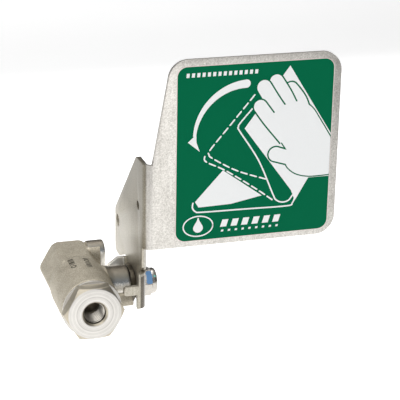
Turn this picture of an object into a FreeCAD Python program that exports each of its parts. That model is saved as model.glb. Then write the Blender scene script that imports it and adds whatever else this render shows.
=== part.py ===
import FreeCAD, Part
import math
import os
import Sketcher

# Push-flag ball valve for an eyewash: a two-piece 1/4 inch stainless ball valve whose stem carries
# a large bent-steel flag.  Flag upright is shut; pushed back through a quarter turn it is open, and
# it stays open.
#
# Frame: the origin is the centre of the inlet face.  +Y points out of the inlet along the pipe axis,
# +X runs along the stem towards the flag and +Z is up.  Every sub-part is drawn about the point
# where the stem axis crosses the pipe axis, and its Placement then moves it to the origin above.

Vector = FreeCAD.Vector

SIZES = [
    # valve body
    ("stem_to_inlet", 33.0, "stem axis to the inlet face"),
    ("casting_wall", 3.85, "casting outside the plug's thread"),
    ("rim_reach", 27.0, "stem axis to the front rim of the casting"),
    ("inlet_hex_af", 28.5, "hexagon of the casting, across flats"),
    ("inlet_hex_from", 4.0, "where the hexagon starts to rise out of the barrel"),
    ("hex_blend", 7.0, "length of the cast blend from barrel to hexagon"),
    ("hex_round", 3.0, "rounded corners of the cast hexagon"),
    ("neck_wall", 2.65, "neck outside the packing bore"),
    ("neck_root_flare", 1.0, "how much wider the neck is at its root"),
    ("neck_root_len", 0.9, "root cone past the barrel"),
    ("cast_edge", 0.6, "broken edges of the casting"),
    # ports: 1/4 inch taper pipe thread, drawn at its minor radius
    ("port_rad", 5.9, "thread bore of both ports"),
    ("port_depth", 14.0, "depth of both thread bores"),
    ("mouth_step", 1.0, "countersink of both ports, outside the thread bore"),
    ("mouth_depth", 0.9, "depth of the countersinks"),
    ("flow_rad", 5.0, "waterway through body, plug and ball"),
    # end plug
    ("plug_hex_af", 28.2, "hexagon of the end plug, across flats"),
    ("plug_hex_len", 6.8, "length of the hexagon"),
    ("plug_collar", 0.9, "thin round collar behind the hexagon"),
    ("plug_collar_step", 0.2, "collar inside the barrel's radius"),
    ("plug_face_step", 0.35, "turned face inside the hexagon's flats"),
    ("plug_chamfer", 1.9, "depth of the hexagon's chamfer"),
    ("thread_step", 1.95, "plug thread outside the chamber"),
    ("thread_clear", 0.05, "radial clearance of the plug in the casting"),
    ("gasket_thick", 0.75, "body gasket"),
    ("gasket_width", 1.5, "radial width of the gasket"),
    # ball and seats
    ("ball_rad", 9.5, "ball"),
    ("chamber_clear", 0.5, "chamber outside the ball"),
    ("seat_lap", 3.5, "ball's pole to the front of each seat"),
    ("seat_thick", 3.2, "seat, back to front"),
    ("seat_clear", 0.1, "seat in the chamber, radial"),
    ("shoulder_gap", 0.1, "plug's end to the shoulder in the casting"),
    ("seat_bore_step", 0.25, "bore of the seats outside the waterway"),
    ("ball_clear", 0.05, "running clearance of ball and seats"),
    ("slot_depth", 2.1, "slot in the ball"),
    ("tang_thick", 3.1, "stem tang"),
    ("tang_wide", 6.8, "stem tang, along the slot"),
    ("tang_clear", 0.1, "tang in the slot, each side"),
    # stem and packing
    ("stem_rad", 4.75, "stem shaft and thread"),
    ("run_clear", 0.05, "running clearance round the stem"),
    ("collar_step", 1.45, "blow-out collar outside the stem"),
    ("collar_gap", 0.5, "ball to collar"),
    ("collar_thick", 2.2, "collar"),
    ("washer_thick", 0.7, "thrust washer over the collar"),
    ("collar_clear", 0.2, "counterbore outside the collar"),
    ("stem_land", 2.7, "casting between counterbore and packing bore"),
    ("oring_cord", 1.6, "section of the stem o-ring"),
    ("groove_depth", 1.3, "depth of the o-ring groove"),
    ("groove_wide", 2.0, "width of the o-ring groove"),
    ("packing_width", 2.4, "packing bore outside the stem hole"),
    ("packing_clear", 0.08, "rings in their bores, radial"),
    ("packing_thick", 2.0, "one packing ring at its edge"),
    ("packing_vee", 0.8, "height of the packing's vee"),
    ("gland_ring_thick", 2.0, "gland follower ring"),
    ("spring_thick", 0.8, "disc spring"),
    ("spring_rise", 0.35, "free height of a disc spring over its thickness"),
    ("spring_clear", 0.3, "disc springs in the packing bore"),
    ("gland_nut_gap", 0.3, "neck to gland nut"),
    ("gland_nut_af", 19.0, "gland nut across flats"),
    ("gland_nut_thick", 2.6, "gland nut"),
    ("gland_nut_turn", 7.0, "turn of the gland nut about the stem, degrees"),
    # fastening of the flag
    ("flat_depth", 1.15, "depth of the stem's two flats"),
    ("flat_clear", 0.05, "stem flats in the arm's hole"),
    ("lock_washer_thick", 2.0, "washer under the handle nut"),
    ("lock_washer_width", 2.8, "radial width of that washer"),
    ("nut_wall", 2.35, "handle nut from its bore to its flats"),
    ("nut_turn", 52.0, "turn of the handle nut about the stem, degrees"),
    ("nut_hex_len", 5.5, "hexagon of the handle nut"),
    ("nut_len", 8.45, "handle nut over its collar"),
    ("insert_width", 1.3, "radial width of the nylon ring in the handle nut"),
    ("insert_thick", 1.9, "nylon ring"),
    ("insert_clear", 0.05, "nylon ring in its pocket"),
    ("stem_past_nut", 0.4, "stem end past the handle nut"),
    # bent-steel flag
    ("sheet", 2.4, "steel sheet of the flag"),
    ("bend_rad", 2.0, "inner radius of the three bends"),
    ("flag_face", 24.9, "stem axis to the front of the flag"),
    ("flag_low", 28.4, "stem axis to the flag's bottom edge"),
    ("flag_tall", 101.0, "flag, bottom to top"),
    ("flag_wide", 101.3, "flag from the bend to its right edge"),
    ("flag_slant", 9.7, "how far the left edge leans in by the top"),
    ("flag_corner", 10.5, "corner radius of the flag"),
    ("arm_tall", 46.4, "bend of the flag, bottom to top"),
    ("arm_top_len", 12.5, "level stretch at the top of the arm"),
    ("arm_rear", 37.7, "stem axis to the rear edge of the arm"),
    ("arm_rear_top", 29.9, "where the slanted edge meets the rear edge"),
    ("arm_rear_low", 4.4, "bottom of the rear edge"),
    ("arm_foot", 28.0, "where the arm's lower edge starts to rise"),
    ("arm_corner", 3.0, "rounded corners of the arm"),
    ("hub_web", 1.0, "sheet below the stem's hole"),
    ("hub_corner", 3.5, "rounded lower corner of the hub"),
    ("hole_small_rad", 2.45, "small hole in the arm"),
    ("hole_small_in", 8.4, "small hole from the arm's front edge"),
    ("hole_small_up", 49.2, "small hole from the stem axis, upwards"),
    ("hole_large_rad", 3.4, "large hole in the arm"),
    ("hole_large_in", 6.1, "large hole from the arm's rear edge"),
    ("hole_large_up", 24.2, "large hole from the stem axis, upwards"),
    # stop tabs of the flag, and the stops that are cast on the body
    ("shut_tab_face", 22.2, "stem axis to the front of the shut tab"),
    ("shut_tab_short", 1.6, "how much shorter the shut tab is than the open tab"),
    ("shut_tab_low", 2.3, "lower edge of the shut tab"),
    ("shut_tab_tall", 5.0, "shut tab, bottom to top"),
    ("lip_top", 14.0, "top of the bent lip that carries the shut tab"),
    ("lip_relief", 3.0, "height of the relief above that lip"),
    ("lip_flat", 0.8, "flat of the lip past its bend, below the shut tab"),
    ("open_tab_gap", 2.03, "gland nut's corners to the open tab"),
    ("tab_body_gap", 0.55, "casting's hexagon to the end of the open tab"),
    ("open_tab_low", 0.3, "lower edge of the open tab"),
    ("open_tab_top", 9.6, "upper edge of the open tab"),
    ("open_tab_cut", 5.0, "height of the sloping cut at the end of the open tab"),
    ("tab_relief", 0.6, "slot between the open tab and the arm"),
    ("stop_gap", 0.3, "gap left between a tab and its stop"),
    ("stop_lip_gap", 2.3, "end of the stops to the bent lip"),
    ("shut_stop_lead", 1.2, "shut tab's front to the front of its stop"),
    ("shut_stop_deep", 6.0, "shut stop, front to back"),
    ("shut_stop_tall", 6.1, "shut stop, bottom to top"),
    ("shut_stop_lead_in", 2.9, "height of the sloping front of the shut stop"),
    ("open_stop_thick", 4.7, "open stop, front to back"),
    ("open_stop_reach", 3.0, "open stop past the end of the open tab, along the stem"),
    ("open_stop_past", 0.6, "open stop past the open tab's outer face"),
    ("ear_half", 6.9, "half the width of the round-topped ear beside the inlet"),
    ("ear_back", 24.2, "stem axis to the middle of the ear, backwards"),
    ("ear_up", 9.5, "pipe axis to the centre of the ear's round top"),
    ("ear_from", 8.6, "pipe axis to the near end of the ear"),
    ("ear_end", 18.2, "pipe axis to the far end of the ear"),
    # sign
    ("sign_left", 12.3, "bend to the sign"),
    ("sign_right", 4.0, "sign to the flag's right edge"),
    ("sign_foot", 2.9, "flag's bottom edge to the sign"),
    ("sign_head", 3.3, "sign to the flag's top edge"),
    ("sign_thick", 0.2, "sign"),
    ("sign_corner", 5.5, "corner radius of the sign"),
]


class Size:
    """A length that knows its number and the sheet expression that gives it."""

    def __init__(self, text, number):
        self.text, self.number = text, number

    @staticmethod
    def of(value):
        return value if isinstance(value, Size) else Size(repr(float(value)), float(value))

    def __add__(self, other):
        other = Size.of(other)
        return Size(f"({self.text} + {other.text})", self.number + other.number)

    def __sub__(self, other):
        other = Size.of(other)
        return Size(f"({self.text} - {other.text})", self.number - other.number)

    def __mul__(self, other):
        other = Size.of(other)
        return Size(f"({self.text} * {other.text})", self.number * other.number)

    def __truediv__(self, other):
        other = Size.of(other)
        return Size(f"({self.text} / {other.text})", self.number / other.number)

    def __neg__(self):
        return Size(f"(0 - {self.text})", -self.number)

    def __radd__(self, other):
        return Size.of(other) + self

    def __rsub__(self, other):
        return Size.of(other) - self

    def __rmul__(self, other):
        return Size.of(other) * self


doc = FreeCAD.newDocument("push_flag_valve")
sheet = doc.addObject("Spreadsheet::Sheet", "Sizes")


class Sheet:
    """The sheet's sizes as attributes, such as d.neck_rad."""


d = Sheet()
for row, (alias, value, note) in enumerate(SIZES, start=1):
    sheet.set(f"A{row}", alias)
    sheet.set(f"B{row}", str(value))
    sheet.set(f"C{row}", note)
    sheet.setAlias(f"B{row}", alias)
    setattr(d, alias, Size(f"Sizes.{alias}", float(value)))
doc.recompute()

NODES = []  # (node name, object) in the order they are made

# ---------------------------------------------------------------- worked-out sizes

HEX_CORNER = 1 / math.cos(math.radians(30))  # corner radius over half the width across flats
AT_PIPE_AXIS = -d.stem_to_inlet  # every sub-part's Placement along Y

# radii, from the waterway outwards
MOUTH_RAD = d.port_rad + d.mouth_step
SEAT_BORE_RAD = d.flow_rad + d.seat_bore_step
CHAMBER_RAD = d.ball_rad + d.chamber_clear
SPIGOT_RAD = CHAMBER_RAD + d.thread_step
SPIGOT_BORE = SPIGOT_RAD + d.thread_clear
BARREL_RAD = SPIGOT_BORE + d.casting_wall
PLUG_COLLAR_RAD = BARREL_RAD - d.plug_collar_step
INLET_CORNER = d.inlet_hex_af / 2 * HEX_CORNER
PLUG_CORNER = d.plug_hex_af / 2 * HEX_CORNER
PLUG_FACE_RAD = d.plug_hex_af / 2 - d.plug_face_step

# radii, from the stem outwards
STEM_BORE = d.stem_rad + d.run_clear  # bore of what fits round the stem
COLLAR_RAD = d.stem_rad + d.collar_step
COLLAR_BORE_RAD = COLLAR_RAD + d.collar_clear
PACKING_BORE_RAD = STEM_BORE + d.packing_width
PACKING_RAD = PACKING_BORE_RAD - d.packing_clear
NECK_RAD = PACKING_BORE_RAD + d.neck_wall
GLAND_CORNER = d.gland_nut_af / 2 * HEX_CORNER
FLAT_HALF = d.stem_rad - d.flat_depth
NUT_AF = (STEM_BORE + d.nut_wall) * 2
INSERT_RAD = STEM_BORE + d.insert_width
NUT_COLLAR_RAD = NUT_AF / 2 - 0.05

# places along the pipe, from the stem axis
SEAT_FRONT = d.ball_rad - d.seat_lap
SEAT_BACK = SEAT_FRONT + d.seat_thick
INLET_FLOOR = d.stem_to_inlet - d.port_depth
HEX_BLEND_END = d.inlet_hex_from + d.hex_blend
PLUG_COLLAR_FRONT = d.rim_reach + d.plug_collar
PLUG_FRONT = PLUG_COLLAR_FRONT + d.plug_hex_len

# places along the stem, from the pipe axis
SLOT_FLOOR = d.ball_rad - d.slot_depth
COLLAR_FROM = d.ball_rad + d.collar_gap
COLLAR_END = COLLAR_FROM + d.collar_thick
WASHER_END = COLLAR_END + d.washer_thick
ORING_AT = WASHER_END + d.stem_land / 2
PACKING_FROM = WASHER_END + d.stem_land
GLAND_RING_FROM = PACKING_FROM + 3 * d.packing_thick
SPRINGS_FROM = GLAND_RING_FROM + d.gland_ring_thick
SPRING_PAIR = 2 * (d.spring_thick + d.spring_rise)
GLAND_NUT_FROM = SPRINGS_FROM + SPRING_PAIR
NECK_END = GLAND_NUT_FROM - d.gland_nut_gap
NECK_ROOT_END = BARREL_RAD + d.neck_root_len
HUB_FROM = GLAND_NUT_FROM + d.gland_nut_thick
HUB_OUTER = HUB_FROM + d.sheet
NUT_FROM = HUB_OUTER + d.lock_washer_thick
NUT_HEX_END = NUT_FROM + d.nut_hex_len
NUT_END = NUT_FROM + d.nut_len
STEM_END = NUT_END + d.stem_past_nut

# the bent flag and its stops
FLAG_LEFT = HUB_OUTER + d.bend_rad  # where the bend ends and the flat flag begins
FLAG_RIGHT = FLAG_LEFT + d.flag_wide
FLAG_TOP = d.flag_low + d.flag_tall
ARM_TOP = d.flag_low + d.arm_tall
ARM_FRONT = d.sheet + d.bend_rad - d.flag_face  # where the arm ends and the flag's bend begins
ARM_PEAK = ARM_FRONT + d.arm_top_len
TAB_AXIS = HUB_FROM - d.bend_rad  # both tabs bend about lines at this distance
LIP_FRONT = d.bend_rad + d.sheet - d.shut_tab_face
HUB_LOW = d.stem_rad + d.hub_web
OPEN_TAB_FACE = GLAND_CORNER + d.open_tab_gap
OPEN_TAB_ROOT = OPEN_TAB_FACE - d.bend_rad
OPEN_TAB_END = INLET_CORNER + d.tab_body_gap
SHUT_TAB_END = OPEN_TAB_END + d.shut_tab_short
SHUT_TAB_TOP = d.shut_tab_low + d.shut_tab_tall
STOP_END = TAB_AXIS - d.stop_lip_gap
OPEN_STOP_END = OPEN_TAB_END + d.open_stop_reach
SHUT_STOP_FRONT = d.shut_tab_face - d.shut_stop_lead
OPEN_STOP_LOW = OPEN_TAB_FACE + d.sheet + d.open_stop_past


# ---------------------------------------------------------------- sketch and feature helpers

def bind(item, prop, size):
    """Ties one property to the sheet."""
    item.setExpression(prop, Size.of(size).text)


def node(item, name):
    """Names a sub-part, moves it to the row's frame and lists it for export."""
    item.Label = name
    bind(item, "Placement.Base.y", AT_PIPE_AXIS)
    NODES.append((name, item))
    return item


def new_body(name):
    return node(doc.addObject("PartDesign::Body", name), name)


def new_sketch(body, name, plane, offset=0.0):
    """A sketch on one of the body's own planes, moved along the plane's normal by offset."""
    sketch = body.newObject("Sketcher::SketchObject", f"{body.Name}_{name}")
    base = next(item for item in body.Origin.OriginFeatures if item.Role == plane)
    sketch.AttachmentSupport = [(base, "")]
    sketch.MapMode = "FlatFace"
    bind(sketch, "AttachmentOffset.Base.z", offset)
    return sketch


def pin(sketch, geometry, point, across, up):
    """Holds one sketch point at two sheet sizes."""
    for kind, size in (("DistanceX", across), ("DistanceY", up)):
        size = Size.of(size)
        index = sketch.addConstraint(
            Sketcher.Constraint(kind, -1, 1, geometry, point, size.number)
        )
        sketch.setExpression(f"Constraints[{index}]", size.text)


def polygon(sketch, corners):
    """A closed outline whose corners are pairs of sizes."""
    flat = [Vector(Size.of(a).number, Size.of(b).number, 0) for a, b in corners]
    first = sketch.GeometryCount
    count = len(flat)
    for i in range(count):
        sketch.addGeometry(Part.LineSegment(flat[i], flat[(i + 1) % count]))
    for i in range(count):
        following = first + (i + 1) % count
        sketch.addConstraint(Sketcher.Constraint("Coincident", first + i, 2, following, 1))
        pin(sketch, first + i, 1, *corners[i])


def circle(sketch, across, up, radius):
    across, up, radius = Size.of(across), Size.of(up), Size.of(radius)
    centre = Vector(across.number, up.number, 0)
    index = sketch.addGeometry(Part.Circle(centre, Vector(0, 0, 1), radius.number))
    pin(sketch, index, 3, across, up)
    limit = sketch.addConstraint(Sketcher.Constraint("Radius", index, radius.number))
    sketch.setExpression(f"Constraints[{limit}]", radius.text)


def hexagon(sketch, across_flats, turn=0.0):
    """A hexagon about the sketch's origin, with a corner at turn degrees from its first axis."""
    corner = Size.of(across_flats) / 2 * HEX_CORNER
    polygon(sketch, [
        (corner * math.cos(math.radians(turn + 60 * i)),
         corner * math.sin(math.radians(turn + 60 * i)))
        for i in range(6)
    ])


def pad(body, sketch, length, reverse=False):
    feature = body.newObject("PartDesign::Pad", f"{sketch.Name}_pad")
    feature.Profile = sketch
    feature.Reversed = reverse
    bind(feature, "Length", length)
    return feature


def pocket(body, sketch, length, reverse=False):
    feature = body.newObject("PartDesign::Pocket", f"{sketch.Name}_pocket")
    feature.Profile = sketch
    feature.Reversed = reverse
    bind(feature, "Length", length)
    return feature


def turned(body, sketch, axis, kind="Revolution", angle=360.0, reverse=False):
    feature = body.newObject(f"PartDesign::{kind}", f"{sketch.Name}_{kind.lower()}")
    feature.Profile = sketch
    feature.ReferenceAxis = (sketch, [axis])
    feature.Angle = angle
    feature.Reversed = reverse
    return feature


def stem_profile(body, name, corners, kind="Revolution"):
    """Turns an outline of (distance from the pipe axis, radius) pairs about the stem axis."""
    sketch = new_sketch(body, name, "XY_Plane")
    polygon(sketch, corners)
    return turned(body, sketch, "H_Axis", kind)


def pipe_profile(body, name, corners, kind="Revolution"):
    """Turns an outline of (radius, distance behind the stem axis) pairs about the pipe axis."""
    sketch = new_sketch(body, name, "XY_Plane")
    polygon(sketch, corners)
    return turned(body, sketch, "V_Axis", kind)


def round_edges(body, radius, wanted):
    """Rounds the tip's edges for which wanted(edge) is true."""
    doc.recompute()
    base = body.Tip
    names = [f"Edge{i}" for i, edge in enumerate(base.Shape.Edges, start=1) if wanted(edge)]
    if not names:
        raise RuntimeError(f"{body.Label}: no edge to round")
    feature = body.newObject("PartDesign::Fillet", f"{body.Name}_round{len(body.Group)}")
    feature.Base = (base, names)
    bind(feature, "Radius", radius)
    return feature


def edge_through(axis, across, up, tolerance=0.01):
    """Picks straight edges parallel to an axis index that stand over the point (across, up)."""
    others = [i for i in range(3) if i != axis]
    target = (Size.of(across).number, Size.of(up).number)

    def wanted(edge):
        ends = [vertex.Point for vertex in edge.Vertexes]
        if len(ends) != 2 or not isinstance(edge.Curve, Part.Line):
            return False
        return all(abs(end[others[k]] - target[k]) < tolerance for end in ends for k in (0, 1))

    return wanted


def ring_on_stem(name, inner, outer, start, thick):
    """A plain ring round the stem."""
    body = new_body(name)
    stem_profile(body, "ring", [
        (start, inner), (start + thick, inner), (start + thick, outer), (start, outer),
    ])
    return body


# ---------------------------------------------------------------- valve body and end plug

def make_body_casting():
    """Round barrel, inlet hexagon, stem neck, two stops and an ear, bored out."""
    body = new_body("body_casting")
    hexagon_sketch = new_sketch(body, "hexagon", "XZ_Plane", -d.stem_to_inlet)
    hexagon(hexagon_sketch, d.inlet_hex_af)
    pad(body, hexagon_sketch, d.stem_to_inlet - d.inlet_hex_from)
    round_edges(body, d.hex_round, lambda edge: (
        isinstance(edge.Curve, Part.Line) and abs(edge.Curve.Direction.y) > 0.9
    ))
    pipe_profile(body, "barrel", [
        (0, -d.rim_reach),
        (BARREL_RAD - d.cast_edge, -d.rim_reach),
        (BARREL_RAD, -d.rim_reach + d.cast_edge),
        (BARREL_RAD, d.inlet_hex_from + 1.0),
        (d.inlet_hex_af / 2 - d.cast_edge, HEX_BLEND_END),
        (0, HEX_BLEND_END),
    ])

    outside = INLET_CORNER + 2.0
    pipe_profile(body, "blend", [
        (BARREL_RAD - 0.4, d.inlet_hex_from - 1.0),
        (outside, d.inlet_hex_from - 1.0),
        (outside, HEX_BLEND_END),
        (INLET_CORNER, HEX_BLEND_END),
    ], "Groove")
    end_chamfer = 1.4
    pipe_profile(body, "end_chamfer", [
        (INLET_CORNER - end_chamfer, d.stem_to_inlet + 0.1),
        (outside, d.stem_to_inlet + 0.1),
        (outside, d.stem_to_inlet - end_chamfer),
        (INLET_CORNER, d.stem_to_inlet - end_chamfer),
    ], "Groove")

    stem_profile(body, "neck", [
        (0, 0),
        (0, (NECK_RAD + d.neck_root_flare)),
        (NECK_ROOT_END - 4.0, (NECK_RAD + d.neck_root_flare)),
        (NECK_ROOT_END, NECK_RAD),
        (NECK_END - d.cast_edge, NECK_RAD),
        (NECK_END, NECK_RAD - d.cast_edge),
        (NECK_END, 0),
    ])

    ear_top = new_sketch(body, "ear_top", "YZ_Plane", d.ear_from)
    circle(ear_top, d.ear_back, d.ear_up, d.ear_half)
    pad(body, ear_top, d.ear_end - d.ear_from)
    ear = new_sketch(body, "ear", "YZ_Plane", d.ear_from)
    polygon(ear, [
        (d.ear_back - d.ear_half, 0),
        (d.ear_back + d.ear_half, 0),
        (d.ear_back + d.ear_half, d.ear_up),
        (d.ear_back - d.ear_half, d.ear_up),
    ])
    pad(body, ear, d.ear_end - d.ear_from)

    # the shut stop stands just below the shut tab, and the open stop is a rib under the neck
    shut_stop_top = d.shut_tab_low - d.stop_gap
    stop_root = BARREL_RAD - 4.0
    shut_stop = new_sketch(body, "shut_stop", "YZ_Plane", stop_root)
    polygon(shut_stop, [
        (-SHUT_STOP_FRONT, shut_stop_top - d.shut_stop_lead_in),
        (-SHUT_STOP_FRONT, shut_stop_top - d.shut_stop_tall),
        (-SHUT_STOP_FRONT + d.shut_stop_deep, shut_stop_top - d.shut_stop_tall),
        (-SHUT_STOP_FRONT + d.shut_stop_deep, shut_stop_top),
        (-SHUT_STOP_FRONT + d.shut_stop_deep * 0.4, shut_stop_top),
    ])
    pad(body, shut_stop, STOP_END - stop_root)

    open_stop_face = d.open_tab_low - d.stop_gap
    open_stop = new_sketch(body, "open_stop", "YZ_Plane", stop_root)
    polygon(open_stop, [
        (open_stop_face, -COLLAR_BORE_RAD - 1.5),
        (open_stop_face, -OPEN_STOP_LOW),
        (open_stop_face - d.open_stop_thick, -OPEN_STOP_LOW),
        (open_stop_face - d.open_stop_thick, -COLLAR_BORE_RAD - 1.5),
    ])
    pad(body, open_stop, OPEN_STOP_END - stop_root)

    # waterway, chamber and plug thread
    gasket_rad = SPIGOT_BORE + d.gasket_width + 0.1
    pipe_profile(body, "waterway", [
        (0, -d.rim_reach - 0.1),
        (gasket_rad, -d.rim_reach - 0.1),
        (gasket_rad, -d.rim_reach + d.gasket_thick),
        (SPIGOT_BORE, -d.rim_reach + d.gasket_thick),
        (SPIGOT_BORE, -SEAT_BACK + d.shoulder_gap),
        (CHAMBER_RAD, -SEAT_BACK + d.shoulder_gap),
        (CHAMBER_RAD, SEAT_BACK),
        (d.flow_rad, SEAT_BACK),
        (d.flow_rad, INLET_FLOOR),
        (d.port_rad, INLET_FLOOR),
        (d.port_rad, d.stem_to_inlet - d.mouth_depth),
        (MOUTH_RAD, d.stem_to_inlet),
        (MOUTH_RAD, d.stem_to_inlet + 0.1),
        (0, d.stem_to_inlet + 0.1),
    ], "Groove")
    stem_profile(body, "stem_bore", [
        (SLOT_FLOOR, 0),
        (SLOT_FLOOR, COLLAR_BORE_RAD),
        (WASHER_END, COLLAR_BORE_RAD),
        (WASHER_END, STEM_BORE),
        (PACKING_FROM, STEM_BORE),
        (PACKING_FROM, PACKING_BORE_RAD),
        (NECK_END + 0.1, PACKING_BORE_RAD),
        (NECK_END + 0.1, 0),
    ], "Groove")
    return body


def make_end_plug():
    """Hexagon with a turned face, a thin collar and a threaded spigot that holds the front seat."""
    body = new_body("end_plug")
    hexagon_sketch = new_sketch(body, "hexagon", "XZ_Plane", PLUG_COLLAR_FRONT)
    hexagon(hexagon_sketch, d.plug_hex_af)
    pad(body, hexagon_sketch, d.plug_hex_len)
    pipe_profile(body, "spigot", [
        (0, -PLUG_COLLAR_FRONT),
        (PLUG_COLLAR_RAD, -PLUG_COLLAR_FRONT),
        (PLUG_COLLAR_RAD, -d.rim_reach),
        (SPIGOT_RAD, -d.rim_reach),
        (SPIGOT_RAD, -SEAT_BACK),
        (0, -SEAT_BACK),
    ])
    pipe_profile(body, "chamfer", [
        (PLUG_FACE_RAD, -PLUG_FRONT - 0.1),
        (PLUG_FACE_RAD, -PLUG_FRONT),
        (PLUG_CORNER + 0.1, -PLUG_FRONT + d.plug_chamfer),
        (PLUG_CORNER + 0.1, -PLUG_FRONT - 0.1),
    ], "Groove")
    pipe_profile(body, "waterway", [
        (0, -PLUG_FRONT - 0.1),
        (MOUTH_RAD, -PLUG_FRONT - 0.1),
        (MOUTH_RAD, -PLUG_FRONT),
        (d.port_rad, -PLUG_FRONT + d.mouth_depth),
        (d.port_rad, -PLUG_FRONT + d.port_depth),
        (d.flow_rad, -PLUG_FRONT + d.port_depth),
        (d.flow_rad, -SEAT_BACK + 0.1),
        (0, -SEAT_BACK + 0.1),
    ], "Groove")
    return body


def make_body_gasket():
    body = new_body("body_gasket")
    inner = SPIGOT_BORE + 0.05
    pipe_profile(body, "ring", [
        (inner, -d.rim_reach),
        (inner + d.gasket_width, -d.rim_reach),
        (inner + d.gasket_width, -d.rim_reach + d.gasket_thick),
        (inner, -d.rim_reach + d.gasket_thick),
    ])
    return body


# ---------------------------------------------------------------- ball and seats

def primitive(kind, name, **sizes):
    item = doc.addObject(f"Part::{kind}", name)
    for prop, size in sizes.items():
        bind(item, prop, size)
    return item


def cut(base, tool, name):
    item = doc.addObject("Part::Cut", name)
    item.Base, item.Tool = base, tool
    return item


def make_ball():
    """A bored ball, shown shut with its bore upright, and a slot on its stem side."""
    reach = d.ball_rad * 2 + 2.0
    ball = primitive("Sphere", "ball_blank", Radius=d.ball_rad)
    bore = primitive("Cylinder", "ball_bore", Radius=d.flow_rad, Height=reach)
    bind(bore, "Placement.Base.z", -reach / 2)
    wide = d.tang_thick + 2 * d.tang_clear
    slot = primitive("Box", "ball_slot", Length=d.ball_rad, Width=reach, Height=wide)
    bind(slot, "Placement.Base.x", SLOT_FLOOR)
    bind(slot, "Placement.Base.y", -reach / 2)
    bind(slot, "Placement.Base.z", -wide / 2)
    return node(cut(cut(ball, bore, "ball_bored"), slot, "ball_slotted"), "ball")


def make_seat(name, back, front):
    """A seat ring between two distances along the pipe, hollowed to the ball."""
    body = new_body(name)
    outer = CHAMBER_RAD - d.seat_clear
    pipe_profile(body, "ring", [
        (SEAT_BORE_RAD, back), (outer, back), (outer, front), (SEAT_BORE_RAD, front),
    ])
    sketch = new_sketch(body, "ball_face", "XY_Plane")
    radius = d.ball_rad + d.ball_clear
    index = sketch.addGeometry(Part.ArcOfCircle(
        Part.Circle(Vector(0, 0, 0), Vector(0, 0, 1), radius.number), -math.pi / 2, math.pi / 2
    ))
    line = sketch.addGeometry(Part.LineSegment(Vector(0, radius.number), Vector(0, -radius.number)))
    sketch.addConstraint(Sketcher.Constraint("Coincident", index, 3, -1, 1))
    sketch.addConstraint(Sketcher.Constraint("Coincident", index, 2, line, 1))
    sketch.addConstraint(Sketcher.Constraint("Coincident", index, 1, line, 2))
    sketch.addConstraint(Sketcher.Constraint("PointOnObject", index, 2, -2))
    sketch.addConstraint(Sketcher.Constraint("PointOnObject", index, 1, -2))
    limit = sketch.addConstraint(Sketcher.Constraint("Radius", index, radius.number))
    sketch.setExpression(f"Constraints[{limit}]", radius.text)
    turned(body, sketch, "V_Axis", "Groove")
    return body


# ---------------------------------------------------------------- stem, packing and nuts


def make_stem():
    """Tang, blow-out collar, shaft with an o-ring groove, and a thread with two flats."""
    body = new_body("stem")
    tip = 0.6
    stem_profile(body, "shaft", [
        (COLLAR_FROM, 0),
        (COLLAR_FROM, COLLAR_RAD),
        (COLLAR_END, COLLAR_RAD),
        (COLLAR_END, d.stem_rad),
        (ORING_AT - d.groove_wide / 2, d.stem_rad),
        (ORING_AT - d.groove_wide / 2, d.stem_rad - d.groove_depth),
        (ORING_AT + d.groove_wide / 2, d.stem_rad - d.groove_depth),
        (ORING_AT + d.groove_wide / 2, d.stem_rad),
        (STEM_END - tip, d.stem_rad),
        (STEM_END, d.stem_rad - tip),
        (STEM_END, 0),
    ])
    tang = new_sketch(body, "tang", "YZ_Plane", SLOT_FLOOR + d.tang_clear)
    polygon(tang, [
        (-d.tang_wide / 2, -d.tang_thick / 2),
        (d.tang_wide / 2, -d.tang_thick / 2),
        (d.tang_wide / 2, d.tang_thick / 2),
        (-d.tang_wide / 2, d.tang_thick / 2),
    ])
    pad(body, tang, COLLAR_FROM - SLOT_FLOOR)
    for side in (-1, 1):
        flat = new_sketch(body, f"flat_{'rear' if side > 0 else 'front'}", "YZ_Plane", STEM_END)
        outside = d.stem_rad + 1.0
        polygon(flat, [
            (FLAT_HALF * side, -outside),
            (outside * side, -outside),
            (outside * side, outside),
            (FLAT_HALF * side, outside),
        ])
        pocket(body, flat, STEM_END - HUB_FROM)
    return body


def make_packing():
    """Three packing rings that nest in shallow vees, base, middle and top."""
    inner = STEM_BORE
    outer = PACKING_RAD
    middle = (inner + outer) / 2
    for index, name in enumerate(("packing_base", "packing_middle", "packing_top")):
        start = PACKING_FROM + index * d.packing_thick
        end = start + d.packing_thick
        corners = [(start, inner)]
        if index > 0:
            corners.append((start + d.packing_vee, middle))
        corners += [(start, outer), (end, outer)]
        if index < 2:
            corners.append((end + d.packing_vee, middle))
        corners.append((end, inner))
        body = new_body(name)
        stem_profile(body, "ring", corners)


def make_o_ring():
    """An o-ring in the stem's groove, a little flattened so that it just fills groove and bore."""
    body = new_body("stem_o_ring")
    floor = d.stem_rad - d.groove_depth
    half = d.oring_cord / 2 - 0.05
    top = STEM_BORE
    shoulder = 0.4
    stem_profile(body, "ring", [
        (ORING_AT - half, floor + shoulder),
        (ORING_AT - half + shoulder, floor),
        (ORING_AT + half - shoulder, floor),
        (ORING_AT + half, floor + shoulder),
        (ORING_AT + half, top - shoulder),
        (ORING_AT + half - shoulder, top),
        (ORING_AT - half + shoulder, top),
        (ORING_AT - half, top - shoulder),
    ])


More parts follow.
